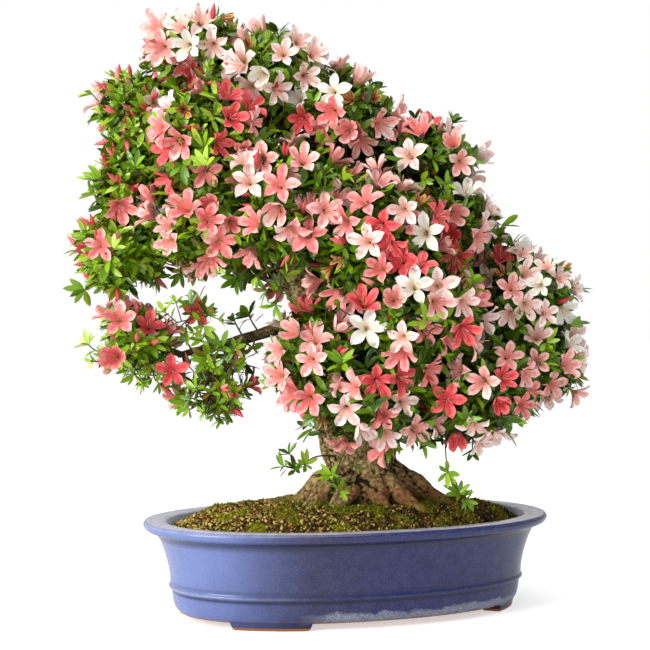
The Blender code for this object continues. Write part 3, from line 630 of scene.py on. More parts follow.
@dataclass(frozen=True)
class BarkFinish:
    """Old bark: dark in its cracks, and in its folds as painted shade, paler on its ridges, with red-brown
    roots that are painted darker on the right as shade, and moss at its foot.
    """

    name: str = "bark"
    fold: tuple = screen(30, 20, 10)
    body: tuple = screen(142, 118, 72)
    ridge: tuple = screen(200, 182, 128)
    warm: tuple = screen(128, 74, 44)
    moss: tuple = screen(92, 108, 24)
    warm_top: float = 0.162
    moss_top: float = 0.128

    def build(self) -> Finish:
        """The bark's material.

        Returns:
            The material.
        """
        dress = Dress(self.name, 0.86, Specular_IOR_Level=0.15)
        grain, up, relief = dress.mottle(240.0, 0.0, 1.0, 6.0), dress.axis("Z"), dress.read("relief")
        # Dark in cracks and seams, and in the mesh's folds as painted shade
        dress.colour = dress.mix(dress.ramp(relief, 0.20, 0.52), self.fold, self.body)
        dress.lay(self.ridge, dress.times(dress.ramp(relief, 0.45, 0.85), dress.ramp(grain, 0.36, 0.62)))
        dress.lay(self.fold, dress.ramp(grain, 0.56, 0.38), 0.55)
        # The right side takes the warm darker colour fully, as painted shade; elsewhere it falls in red-brown
        # patches low on the wood
        shaded = dress.ramp(dress.axis("X"), -0.02, 0.06)
        patchy = dress.sum("MAXIMUM", dress.mottle(30.0, 0.40, 0.62), shaded)
        warm = dress.times(dress.ramp(up, self.warm_top, self.warm_top - 0.030), patchy)
        dress.lay(self.warm, dress.times(warm, dress.ramp(relief, 0.2, 0.5)), 0.72)
        foot = dress.ramp(up, self.moss_top, self.moss_top - 0.012)
        dress.lay(self.moss, dress.times(foot, dress.mottle(70.0, 0.44, 0.58, 5.0)))
        dress.bump(grain, 0.75, 0.0011)
        return dress.finish()


@dataclass(frozen=True)
class PlainFinish:
    """A leaf, petal, grain or tuft: one plain colour, as its pieces are dealt theirs by spray."""

    name: str
    colour: tuple
    roughness: float = 0.5
    sheen: float = 0.0
    shine: float = 0.5

    def build(self) -> Finish:
        """The plain material."""
        plain = {"Sheen_Weight": self.sheen, "Specular_IOR_Level": self.shine}
        return Dress(self.name, self.roughness, self.colour, **plain).finish()


LEAF_COLOURS = shades((26, 40, 6), (44, 66, 6), (64, 96, 6), (86, 124, 8), (110, 150, 16), (136, 174, 28),
                      (162, 194, 50), (186, 210, 88), (104, 92, 24), (150, 116, 40))
PETAL_ZONES = ("throat", "inner", "body", "outer", "streak")
PETAL_COLOURS = {
    Tint.CORAL: shades((204, 92, 76), (220, 74, 78), (232, 88, 92), (239, 112, 110), (210, 62, 70)),
    Tint.SALMON: shades((222, 150, 118), (228, 124, 118), (238, 142, 138), (243, 168, 162), (222, 112, 112)),
    Tint.PINK: shades((228, 172, 138), (237, 160, 150), (242, 180, 172), (246, 202, 195), (232, 148, 142)),
    Tint.PALE: shades((226, 196, 150), (238, 196, 182), (243, 214, 205), (246, 228, 222), (236, 184, 172)),
    Tint.WHITE: shades((212, 214, 164), (236, 233, 216), (241, 239, 232), (244, 243, 238), (232, 229, 204)),
    Tint.FADED: shades((116, 62, 22), (166, 96, 36), (192, 122, 54), (210, 156, 98), (150, 84, 30)),
}
BUD_COLOURS = shades((196, 58, 68), (220, 100, 98), (234, 150, 140), (228, 194, 156))
STAMEN_COLOUR, SEPAL_COLOUR, TWIG_COLOUR = shades((240, 180, 164), (104, 136, 50), (92, 74, 48))
GRAIN_COLOURS = shades((196, 176, 98), (158, 132, 60), (112, 90, 40), (72, 56, 24), (40, 28, 14),
                       (172, 88, 40), (140, 138, 92))
MOSS_COLOURS = shades((172, 162, 36), (136, 138, 24), (80, 90, 14), (100, 76, 30), (88, 118, 18))


@dataclass
class Pot:
    """The oval glazed pot: a lofted shell with a wide lip and a belt, standing on four feet."""

    length: float = 0.460
    depth: float = 0.296
    height: float = 0.1045
    squareness: float = 2.15
    turn: float = math.radians(18.7)
    centre: Vector = field(default_factory=lambda: Vector((0.023, 0.0, 0.0)))
    bottom: float = 0.0075
    wall: float = 0.009
    floor: float = 0.016
    lip: float = 0.026
    foot_width: float = 0.020
    foot_rise: float = 0.006
    foot_steps: int = 18
    foot_round: float = 0.0012
    # The stretch of the oval that each foot takes, in degrees round from its right end
    feet: tuple = ((36, 69), (139, 167), (216, 249), (319, 347))
    around: int = 256
    # The outside from the wall's foot to the lip, as (inset from the rim, height)
    outside: tuple = (
        (0.0390, 0.0075), (0.0345, 0.0125), (0.0322, 0.0210), (0.0306, 0.0312), (0.0281, 0.0330),
        (0.0277, 0.0354), (0.0292, 0.0388), (0.0278, 0.0520), (0.0245, 0.0660), (0.0185, 0.0830),
        (0.0120, 0.0918), (0.0030, 0.0955), (0.0000, 0.1010), (0.0020, 0.1045),
    )
    # The lip's top and its inner edge in the same way, then the heights of rings inside
    lip_top: tuple = ((0.0045, 0.10475), (0.0120, 0.10470), (0.0200, 0.10455), (0.0240, 0.1040))
    lip_inside: tuple = ((0.0256, 0.1026), (0.0262, 0.1004))
    inside: tuple = (0.096, 0.088, 0.070, 0.045)
    # The edges, paler where the glaze breaks and painted with a highlight on the left, and the dark lines
    # under and over the belt and under the lip, pooled glaze and painted shade, as (height, reach)
    edges: tuple = ((0.0352, 0.0020), (0.1030, 0.0024))
    under_belt: tuple = (0.0304, 0.0026)
    over_belt: tuple = (0.0398, 0.0030)
    under_lip: tuple = (0.0905, 0.0075)
    bare_band: float = 0.0024

    def oval(self, inset: float, height: float, heading: float) -> Vector:
        """A point of the oval.

        Args:
            inset: How far in from the rim.
            height: Its height.
            heading: The oval's parameter, in radians.

        Returns:
            The point.
        """
        def share(value: float) -> float:
            """The squared-off sine or cosine."""
            return math.copysign(abs(value) ** (2 / self.squareness), value)

        x = (self.length / 2 - inset) * share(math.cos(heading))
        y = (self.depth / 2 - inset) * share(math.sin(heading))
        return Matrix.Rotation(self.turn, 3, "Z") @ Vector((x, y, height)) + self.centre

    def ring(self, inset: float, height: float) -> list[Vector]:
        """One ring of the oval."""
        return [self.oval(inset, height, TURN * i / self.around) for i in range(self.around)]

    def inner_wall(self, height: float) -> float:
        """The inset of the inner wall at a height."""
        share = (self.height - height) / (self.height - self.floor)
        return self.lip + (self.outside[0][0] + self.wall * 0.5 - self.lip) * share ** 0.6

    def profile(self) -> list[tuple[float, float, float, float, float, float]]:
        """The wall's section: inset, height, and how much edge, pooled glaze and painted shade, lip and bare
        clay is there.

        Returns:
            One row a ring, from the wall's foot over the lip to the floor inside.
        """
        rows = []
        for p in smooth_line([(*point, 0.0) for point in self.outside], 6 * len(self.outside) - 5):
            inset, height = p[0], p[1]
            edge = sum(peak(height, *place) for place in self.edges)
            # Dark lines under and over the belt and under the lip: pooled glaze and painted shade
            hollow = max(peak(height, *self.under_belt), 0.4 * peak(height, *self.over_belt),
                         0.8 * peak(height, *self.under_lip))
            bare = held(1 - (height - self.bottom) / self.bare_band)
            rows.append((inset, height, min(1.0, edge), hollow, 0.0, bare))
        rows += [(inset, height, 0.25, 0.0, 1.0, 0.0) for inset, height in self.lip_top]
        rows += [(inset, height, 0.5, 0.0, 0.4, 0.0) for inset, height in self.lip_inside]
        # The inner wall gets the dark mark as painted shade
        rows += [(self.inner_wall(height), height, 0.0, 0.85, 0.0, 0.0)
                 for height in (*self.inside, self.floor)]
        return rows

    def foot_block(self, first: float, last: float) -> Shape:
        """One foot as a rounded block that follows the wall.

        Args:
            first: Where it starts round the oval, in degrees.
            last: Where it ends.

        Returns:
            The foot's shape.
        """
        shape, rings = bmesh.new(), []
        outer = self.outside[0][0] - 0.003
        for inset, height, trim in ((outer + 0.003, 0.0, 0.06), (outer, self.bottom + self.foot_rise, 0.0)):
            shares = [trim + (1 - 2 * trim) * i / (self.foot_steps - 1) for i in range(self.foot_steps)]
            angles = [math.radians(first + (last - first) * share) for share in shares]
            ring = [self.oval(inset, height, a) for a in angles]
            ring += [self.oval(inset + self.foot_width, height, a) for a in reversed(angles)]
            rings.append([shape.verts.new(p) for p in ring])
        made = [*rings[0], *rings[1]]
        for face in between_rings(2, len(rings[0])):
            shape.faces.new([made[i] for i in face])
        shape.faces.new(reversed(rings[0]))
        shape.faces.new(rings[1])
        bmesh.ops.recalc_face_normals(shape, faces=shape.faces)
        sharp = [e for e in shape.edges if e.calc_face_angle(0) > 0.6]
        bmesh.ops.bevel(shape, geom=sharp, offset=self.foot_round, segments=2, affect="EDGES")
        return shape

    def build(self) -> None:
        """The pot with its feet, dressed in its glaze."""
        rows = self.profile()
        points, faces = [], between_rings(len(rows), self.around)
        for inset, height, *_ in rows:
            points += self.ring(inset, height)
        faces.append(list(reversed(range(self.around))))
        faces.append([(len(rows) - 1) * self.around + j for j in range(self.around)])
        marks = {name: np.repeat([row[2 + i] for row in rows], self.around)
                 for i, name in enumerate(("edge", "hollow", "lip", "bare"))}
        for first, last in self.feet:
            foot = self.foot_block(first, last)
            base = len(points)
            foot.verts.index_update()
            points += [vert.co.copy() for vert in foot.verts]
            faces += [[base + vert.index for vert in face.verts] for face in foot.faces]
            for name in marks:
                # The feet get the dark mark too, as painted shade
                marks[name] = np.append(marks[name], np.full(len(foot.verts), 0.55 * (name == "hollow")))
            foot.free()
        piece = make_piece("glazed_pot", np.array(points), faces, [GlazeFinish().build()],
                           sharp=math.radians(50))
        for name, values in marks.items():
            mark(piece, name, values)
        settle(piece, "blue_glaze", "pot")


@dataclass
class Soil:
    """The mounded soil with baked clay grains and moss, inside the pot's lip."""

    pot: Pot
    edge: float = 0.0960
    skirt: float = 0.086
    mound: tuple = ((0.0, 0.0), (0.05, 0.26), (0.13, 0.62), (0.22, 0.88), (0.30, 1.0), (1.0, 1.0))
    rings: int = 72
    around: int = 260
    grains: int = 9800
    tufts: int = 15000
    trunk_centre: tuple = (0.041, 0.0)
    # How near the trunk's middle grains and tufts come, and where round it moss is dark
    clear: float = 0.040
    mossy_ring: float = 0.088
    # Least, greatest and usual size of a grain, and least and greatest of a tuft
    grain_size: tuple = (0.0008, 0.0026, 0.0013)
    tuft_size: tuple = (0.0014, 0.0034)
    # The moss that is thick enough to hide grains, and thick enough for tufts
    hides_grains: float = 0.24
    bears_tufts: float = 0.04

    def level(self, inward: float) -> float:
        """The mound's plain height.

        Args:
            inward: The share of the way in from the wall.

        Returns:
            The height.
        """
        for (a, low), (b, high) in zip(self.mound, self.mound[1:]):
            if inward <= b:
                up = low + (high - low) * (inward - a) / (b - a)
                break
        return self.edge + (GROUND - GAP - self.edge) * up

    def from_trunk(self, place: Vector) -> float:
        """How far a place is from the trunk's middle, seen from above."""
        return math.hypot(place.x - self.trunk_centre[0], place.y - self.trunk_centre[1])

    def moss(self, place: Vector) -> float:
        """How mossy a place is.

        Args:
            place: The place.

        Returns:
            Below 0 where it is bare, and over 0.4 in thick moss.
        """
        near = peak(self.from_trunk(place), 0.068, 0.030)
        flat = Vector((place.x, place.y, 0.0))
        right = held((place.x + 0.02) / 0.20)
        return rough(flat + Vector((7, 0, 0)), 34, 4) * 1.2 + 0.34 * near - 0.16 + 0.10 * right

    def spot(self, inward: float, heading: float) -> Vector:
        """A place on the lumpy soil.

        Args:
            inward: The share of the way from the wall to the middle.
            heading: The oval's parameter there.

        Returns:
            The place on the surface.
        """
        rim = self.pot.oval(self.pot.inner_wall(self.edge) + 0.001, 0.0, heading)
        place = rim.lerp(self.pot.centre, inward)
        place.z = 0.0
        lumps = 0.0026 * rough(place, 38, 2) + 0.0013 * rough(place + Vector((3, 1, 0)), 150, 2)
        cushion = 0.0042 * held(self.moss(place), high=0.7)
        heaped = 0.0030 * peak(self.from_trunk(place), 0.062, 0.05)
        place.z = self.level(inward) + (lumps + cushion) * min(1.0, 0.25 + inward * 5) + heaped
        return place

    def surface(self) -> None:
        """The soil's own surface, with a skirt down inside the wall."""
        faces = between_rings(self.rings + 1, self.around)
        turns = [TURN * j / self.around for j in range(self.around)]
        points = [self.pot.oval(self.pot.inner_wall(self.skirt) + 0.001, self.skirt, turn) for turn in turns]
        for i in range(self.rings):
            inward = (i / (self.rings - 1)) ** 1.1 * 0.985
            points += [self.spot(inward, turn) for turn in turns]
        faces.append([self.rings * self.around + j for j in range(self.around)])
        piece = make_piece("soil_mound", np.array(points), faces, [SoilFinish().build()])
        mark(piece, "moss", np.array([self.moss(p) for p in points]))
        settle(piece, "mossy_soil", "soil")

    def scatter(self, count: int, rng: Random) -> list[tuple[Vector, float]]:
        """Places spread evenly over the soil, with how far right each is.

        Args:
            count: How many.
            rng: Seeded chance.

        Returns:
            Places with a share, 0 at the left end and 1 at the right.
        """
        spots = []
        while len(spots) < count:
            inward = 1 - math.sqrt(rng.uniform(0.0, 1.0))
            place = self.spot(inward * 0.99, rng.uniform(0, TURN))
            if self.from_trunk(place) > self.clear:
                spots.append((place, held((place.x + 0.18) / 0.40)))
        return spots

    @staticmethod
    def grain_patterns(rng: Random) -> list[Pattern]:
        """A few uneven grains.

        Args:
            rng: Seeded chance.

        Returns:
            Their patterns.
        """
        patterns = []
        for _ in range(8):
            shape = bmesh.new()
            bmesh.ops.create_icosphere(shape, subdivisions=1, radius=1.0)
            squash = [rng.uniform(0.65, 1.1) for _ in range(3)]
            points = [[co * s * rng.uniform(0.82, 1.12) for co, s in zip(vert.co, squash)]
                      for vert in shape.verts]
            shape.verts.index_update()
            patterns.append(Pattern.of(points, [[v.index for v in face.verts] for face in shape.faces]))
            shape.free()
        return patterns

    @staticmethod
    def tuft_patterns(rng: Random) -> list[Pattern]:
        """A few tufts of five blades each.

        Args:
            rng: Seeded chance.

        Returns:
            Their patterns.
        """
        patterns = []
        for _ in range(6):
            points = []
            for _ in range(5):
                turn, lean = rng.uniform(0, TURN), rng.uniform(0.2, 1.0)
                out = level_way(turn)
                side = Vector((-out.y, out.x, 0)) * rng.uniform(0.10, 0.18)
                tip = out * lean * 0.8 + upward(rng.uniform(0.6, 1.1))
                points += [out * 0.12 - side, out * 0.12 + side, tip]
            patterns.append(Pattern.of(points, [[i, i + 1, i + 2] for i in range(0, len(points), 3)]))
        return patterns

    def clay_grains(self) -> None:
        """The baked clay grains, tan on the left and darker on the right."""
        rng = Random(SEED + 1)
        heap, patterns, rows = Heap(), self.grain_patterns(rng), []
        for place, right in self.scatter(self.grains, rng):
            if self.moss(place) + rng.uniform(-0.20, 0.20) > self.hides_grains:
                continue
            size = rng.triangular(*self.grain_size)
            tan = 4.6 * (1 - right) ** 2.0 + 0.1
            slot = rng.choices(range(7), (tan, tan, 2.0, 1.5 + 2 * right, 1.5 + 3 * right, 0.35, 0.3))[0]
            turn = Matrix(np.linalg.qr(np.array([[rng.gauss(0, 1) for _ in range(3)]
                                                 for _ in range(3)]))[0].tolist())
            rows.append((rng.randrange(len(patterns)), turn * size, place + upward(size * 0.3), slot))
        heap.deal(patterns, rows)
        finishes = [PlainFinish(f"clay_grain_{i}", colour, 0.9, shine=0.15).build()
                    for i, colour in enumerate(GRAIN_COLOURS)]
        settle(heap.piece("clay_grains", finishes), "mossy_soil")

    def moss_tufts(self) -> None:
        """Tufts of moss in patches, thickest round the trunk's foot."""
        rng = Random(SEED + 2)
        heap, patterns, rows = Heap(), self.tuft_patterns(rng), []
        for place, right in self.scatter(self.tufts, rng):
            if self.moss(place) + rng.uniform(-0.16, 0.16) < self.bears_tufts:
                continue
            near = 3.0 if self.from_trunk(place) < self.mossy_ring else 0.25
            size = rng.uniform(*self.tuft_size)
            shares = (2.6 * (1 - right) + 0.3, 1.6, 0.9 + right, 0.5 + 2.4 * right, near)
            slot = rng.choices(range(5), shares)[0]
            turn = Matrix.Rotation(rng.uniform(0, TURN), 3, "Z") * size
            rows.append((rng.randrange(len(patterns)), turn, place, slot))
        heap.deal(patterns, rows)
        finishes = [PlainFinish(f"moss_{i}", colour, 0.85, shine=0.2).build()
                    for i, colour in enumerate(MOSS_COLOURS)]
        settle(heap.piece("moss_tufts", finishes), "mossy_soil")

    def build(self) -> None:
        """All of the soil's pieces."""
        self.surface()
        self.clay_grains()
        self.moss_tufts()


@dataclass
class Limb:
    """The line and radii of a limb."""

    points: list
    radii: list

    @classmethod
    def through(cls, rows: list, steps: int) -> "Limb":
        """A limb on a smooth line through rows of a place's three coordinates and a radius."""
        line = smooth_line(rows, steps)
        return cls([Vector(p[:3]) for p in line], [p[3] for p in line])

    def eased(self, steps: int) -> "Limb":
        """The same limb in another number of steps."""
        return Limb.through([(*p, radius) for p, radius in zip(self.points, self.radii)], steps)

    def at(self, share: float) -> tuple[Vector, float, Vector]:
        """The place, radius and heading at a share of the limb's length.

        Args:
            share: The share of its length from its start.

        Returns:
            The place, radius and heading.
        """
        along = share * (len(self.points) - 1)
        i = min(int(along), len(self.points) - 2)
        t = along - i
        place = self.points[i].lerp(self.points[i + 1], t)
        radius = self.radii[i] + (self.radii[i + 1] - self.radii[i]) * t
        return place, radius, (self.points[i + 1] - self.points[i]).normalized()

    def samples(self, spacing: float = 0.003) -> Array:
        """Rows of place, radius and heading along the limb.

        Args:
            spacing: The distance between rows.

        Returns:
            The rows, 7 numbers each.
        """
        length = sum((b - a).length for a, b in zip(self.points, self.points[1:]))
        count = max(2, int(length / spacing))
        spots = [self.at(i / count) for i in range(count + 1)]
        return np.array([(*place, radius, *way) for place, radius, way in spots])


@dataclass(frozen=True)
class Bough:
    """One tapering limb: its parent, where it leaves it, the mass it ends in, its radius at each
    end, how far its middle bends and the place where it ends, unless on the mass's nearest side."""

    name: str
    parent: str
    leaves_at: float
    mass: str
    base: float
    tip: float
    bend: tuple = (0.0, 0.0, 0.012)
    steps: int = 6
    ends_at: tuple = ()


BOUGHS = (
    Bough("bough_low_left", "trunk", 0.565, "crown_low_left", 0.0085, 0.0040, (0.0, -0.004, -0.003), 9,
          (-0.168, -0.008, 0.282)),
    Bough("bough_hanging", "bough_low_left", 0.52, "crown_hanging", 0.0034, 0.0026, (0.004, 0, 0.0), 4),
    Bough("bough_left", "trunk", 0.61, "crown_left", 0.0080, 0.0042, (0.0, 0.0, 0.010)),
    Bough("bough_upper_left", "trunk", 0.70, "crown_upper_left", 0.0072, 0.0042),
    Bough("bough_top_left", "trunk", 0.86, "crown_top_left", 0.0056, 0.0040),
    Bough("bough_top_right", "trunk", 0.83, "crown_top_right", 0.0060, 0.0042),
    Bough("bough_shoulder", "trunk", 0.66, "crown_shoulder", 0.0078, 0.0045),
    Bough("bough_right_shoulder", "trunk", 0.52, "crown_right_shoulder", 0.0095, 0.0045),
    Bough("bough_right_upper", "trunk", 0.43, "crown_right_upper", 0.0100, 0.0048),
    Bough("bough_right", "trunk", 0.33, "crown_right", 0.0120, 0.0050),
    Bough("bough_right_low", "trunk", 0.25, "crown_right_low", 0.0115, 0.0048),
    Bough("bough_low_right", "bough_right_low", 0.42, "crown_low_right", 0.0060, 0.0045, (0, 0, 0.002), 4),
    Bough("bough_back_right", "trunk", 0.46, "back_right", 0.0080, 0.0048, (0.0, 0.006, 0.010), 5),
    Bough("bough_back_low_right", "bough_right_low", 0.50, "back_low_right", 0.0058, 0.0045,
          (0, 0, 0.004), 4),
    Bough("bough_front_right", "trunk", 0.50, "crown_right_front", 0.0070, 0.0046, (0.0, -0.004, 0.008), 5),
    Bough("bough_front_low", "trunk", 0.38, "crown_low_centre", 0.0085, 0.0048, (0.004, -0.006, 0.004), 5),
    Bough("bough_inner_left", "trunk", 0.63, "crown_inner_left", 0.0062, 0.0044, (0.0, -0.004, 0.006), 5),
    Bough("bough_back_upper", "trunk", 0.76, "back_upper", 0.0064, 0.0046, (0.0, 0.004, 0.006), 4),
)


class Palette(Enum):
    """How a mass's flowers are coloured: the weight of each tint."""

    BLUSH = (0, 2, 4, 6, 1)
    LIGHT = (0, 1, 3, 7, 2)
    MIXED = (1, 4, 5, 3, 0.3)
    WARM = (2, 5, 4, 2, 0)
    DEEP = (4, 5, 2, 1, 0)

    def weights(self) -> dict:
        """The weights by tint, with a few flowers that have faded."""
        return {**dict(zip(Tint, self.value)), Tint.FADED: 0.9}


@dataclass(frozen=True)
class Mass:
    """One mass of foliage: the ellipsoid it may fill, its region, how thickly it is grown, its share
    of flowers and buds, and how its flowers are coloured."""

    name: str
    centre: tuple
    radii: tuple
    region: Region
    density: float = 1.0
    flowers: float = 1.0
    buds: float = 0.12
    palette: Palette = Palette.MIXED
    airy: bool = False
    tips: tuple = ()

    @property
    def sparse(self) -> bool:
        """Whether its flowers are few and its outline ragged."""
        return self.flowers < 0.45


U, M, L, B = Region.UPPER, Region.MIDDLE, Region.LOWER, Region.BACK
BLUSH, LIGHT, MIXED, WARM, DEEP = Palette
MASSES = (
    Mass("crown_tip", (-0.146, 0.000, 0.622), (0.056, 0.056, 0.040), U, buds=0.2, palette=BLUSH,
         tips=((-0.140, -0.004, 0.668),)),
    Mass("crown_top_left", (-0.214, 0.000, 0.552), (0.058, 0.060, 0.048), U, flowers=0.3, buds=0.7,
         tips=((-0.277, -0.004, 0.551), (-0.208, 0, 0.607))),
    Mass("crown_top_right", (-0.062, -0.006, 0.592), (0.062, 0.066, 0.050), U, palette=LIGHT,
         tips=((-0.014, -0.004, 0.630), (-0.075, 0.004, 0.641))),
    Mass("crown_shoulder", (0.009, -0.004, 0.542), (0.062, 0.070, 0.058), U, tips=((0.052, 0, 0.570),)),
    Mass("crown_upper_front", (-0.128, -0.060, 0.520), (0.064, 0.060, 0.058), U, flowers=1.35,
         palette=WARM),
    Mass("crown_upper_left", (-0.219, -0.004, 0.476), (0.050, 0.062, 0.050), U, flowers=0.25, buds=0.7,
         palette=WARM, tips=((-0.262, 0.0, 0.508), (-0.278, -0.004, 0.488))),
    Mass("crown_right_shoulder", (0.108, 0.002, 0.493), (0.058, 0.064, 0.058), M, flowers=0.6,
         tips=((0.118, -0.004, 0.541), (0.152, 0.0, 0.497))),
    Mass("crown_middle_front", (-0.041, -0.074, 0.444), (0.070, 0.062, 0.064), M, flowers=1.2,
         palette=WARM),
    Mass("crown_left", (-0.226, -0.004, 0.398), (0.062, 0.064, 0.054), M, flowers=0.3, buds=0.6,
         palette=WARM, tips=((-0.280, -0.006, 0.390), (-0.262, 0.004, 0.432))),
    Mass("crown_inner_left", (-0.134, -0.046, 0.421), (0.052, 0.054, 0.047), M, flowers=0.95, palette=WARM),
    Mass("crown_right_front", (0.052, -0.078, 0.410), (0.068, 0.062, 0.064), M),
    Mass("crown_right_upper", (0.138, -0.006, 0.410), (0.058, 0.070, 0.053), M, palette=BLUSH,
         tips=((0.176, -0.006, 0.436),)),
    Mass("crown_right", (0.220, 0.000, 0.350), (0.059, 0.070, 0.052), L, flowers=1.3, palette=LIGHT,
         tips=((0.277, -0.006, 0.346), (0.224, 0.0, 0.398))),
    Mass("crown_right_low", (0.232, 0.004, 0.274), (0.052, 0.064, 0.048), L, palette=BLUSH,
         tips=((0.284, -0.006, 0.266), (0.232, 0.004, 0.230))),
    Mass("crown_low_right", (0.150, -0.040, 0.246), (0.070, 0.070, 0.063), L, flowers=0.5, palette=DEEP,
         tips=((0.146, -0.030, 0.190),)),
    Mass("crown_low_centre", (0.088, -0.090, 0.322), (0.076, 0.060, 0.062), L, flowers=0.8,
         palette=WARM),
    Mass("crown_low_front", (0.050, -0.064, 0.243), (0.066, 0.060, 0.054), L, flowers=0.55),
    Mass("crown_low_inner", (-0.014, -0.046, 0.282), (0.052, 0.060, 0.060), L, flowers=0.5, palette=WARM),
    Mass("crown_low_left", (-0.213, -0.010, 0.296), (0.060, 0.058, 0.056), L, 0.62, 0.4, 0.25, WARM, True,
         tips=((-0.262, -0.012, 0.273), (-0.240, 0.0, 0.338))),
    Mass("crown_hanging", (-0.127, -0.010, 0.243), (0.058, 0.050, 0.052), L, 0.34, 0.2, 0.2, WARM, True,
         tips=((-0.116, -0.012, 0.192),)),
    Mass("back_upper", (-0.144, 0.074, 0.531), (0.078, 0.064, 0.072), B, 1.2),
    Mass("back_middle", (-0.056, 0.084, 0.448), (0.080, 0.066, 0.072), B, 1.2, palette=WARM),
    Mass("back_right", (0.066, 0.084, 0.418), (0.080, 0.068, 0.074), B, 1.2),
    Mass("back_low", (0.044, 0.084, 0.284), (0.088, 0.066, 0.076), B, 1.2, palette=WARM),
    Mass("back_low_right", (0.164, 0.070, 0.272), (0.072, 0.066, 0.070), B, 1.1, palette=BLUSH),
)
MASS = {mass.name: mass for mass in MASSES}


class Space:
    """The room that one mass keeps to: its ellipsoid, cut towards each neighbour."""

    search = np.linspace(0.70, 1.45, 31)
    # How sharply the crown's skin turns in the dips between masses, and on the sparse ones
    firm, firmer = 4.2, 7.0
    # The outline's share of the skin, how much it wanders and how finely, full and on the sparse ones
    even, ragged = (1, 0.09, 30), (0.85, 0.38, 24)

    def __init__(self, mass: Mass) -> None:
        """Find the boundaries towards the other masses.

        Args:
            mass: The mass.
        """
        self.mass = mass
        self.centre = Vector(mass.centre)
        self.firmness = self.firmer if mass.sparse else self.firm
        kin = [other for other in MASSES if other.airy == mass.airy]
        self.kin_centres = np.array([other.centre for other in kin])
        self.kin_radii = np.array([other.radii for other in kin])
        self.walls = []
        for other in MASSES:
            if other is mass:
                continue
            way = Vector(other.centre) - self.centre
            out = way.normalized()
            mine, theirs = self.ellipsoid(mass, out), self.ellipsoid(other, -out)
            if way.length < 1.5 * (mine + theirs):
                self.walls.append((out, way.length * mine / (mine + theirs)))

    @staticmethod
    def ellipsoid(mass: Mass, out: Vector) -> float:
        """The distance from a mass's middle to its ellipsoid along a heading."""
        return 1 / math.sqrt(sum((out[i] / mass.radii[i]) ** 2 for i in range(3)))

    def solid_reach(self, out: Vector, margin: float = 0.0006) -> float:
        """How far the mass's solid runs from its middle along a heading."""
        return self.walled(out, self.ellipsoid(self.mass, out), -margin)

    def walled(self, out: Vector, far: float, lap: float) -> float:
        """A distance along a heading, cut short where it would lap further past a boundary."""
        slopes = [(out.dot(wall), distance) for wall, distance in self.walls]
        return min([far, *((distance + lap) / slope for slope, distance in slopes if slope > 1e-6)])

    def swollen(self, out: Vector) -> float:
        """The distance to the crown's skin along a heading; it fills the dips between masses.

        Args:
            out: The heading.

        Returns:
            The distance.
        """
        steps = self.search * self.ellipsoid(self.mass, out)
        places = np.array(self.centre) + np.outer(steps, out)
        shares = np.linalg.norm((places[:, None] - self.kin_centres) / self.kin_radii, axis=2)
        skin = -np.log(np.exp(-self.firmness * shares).sum(1)) / self.firmness
        beyond = np.nonzero(skin > 1.0)[0]
        return float(steps[beyond[0]] if len(beyond) else steps[-1])

    def reach(self, out: Vector, lap: float = 0.010) -> float:
        """How far sprays run from the middle along a heading, a little unevenly in the open.

        Args:
            out: The heading.
            lap: How far past a boundary they may run.

        Returns:
            The distance.
        """
        far = self.swollen(out)
        share, depth, fineness = self.ragged if self.mass.sparse else self.even
        uneven = share + depth * noise.noise((self.centre + out * far) * fineness)
        return self.walled(out, far * uneven, lap)

    def open_towards(self, out: Vector) -> bool:
        """Whether the space ends in open air along a heading."""
        tip = out * self.swollen(out)
        return all(tip.dot(wall) < distance + 0.005 for wall, distance in self.walls)


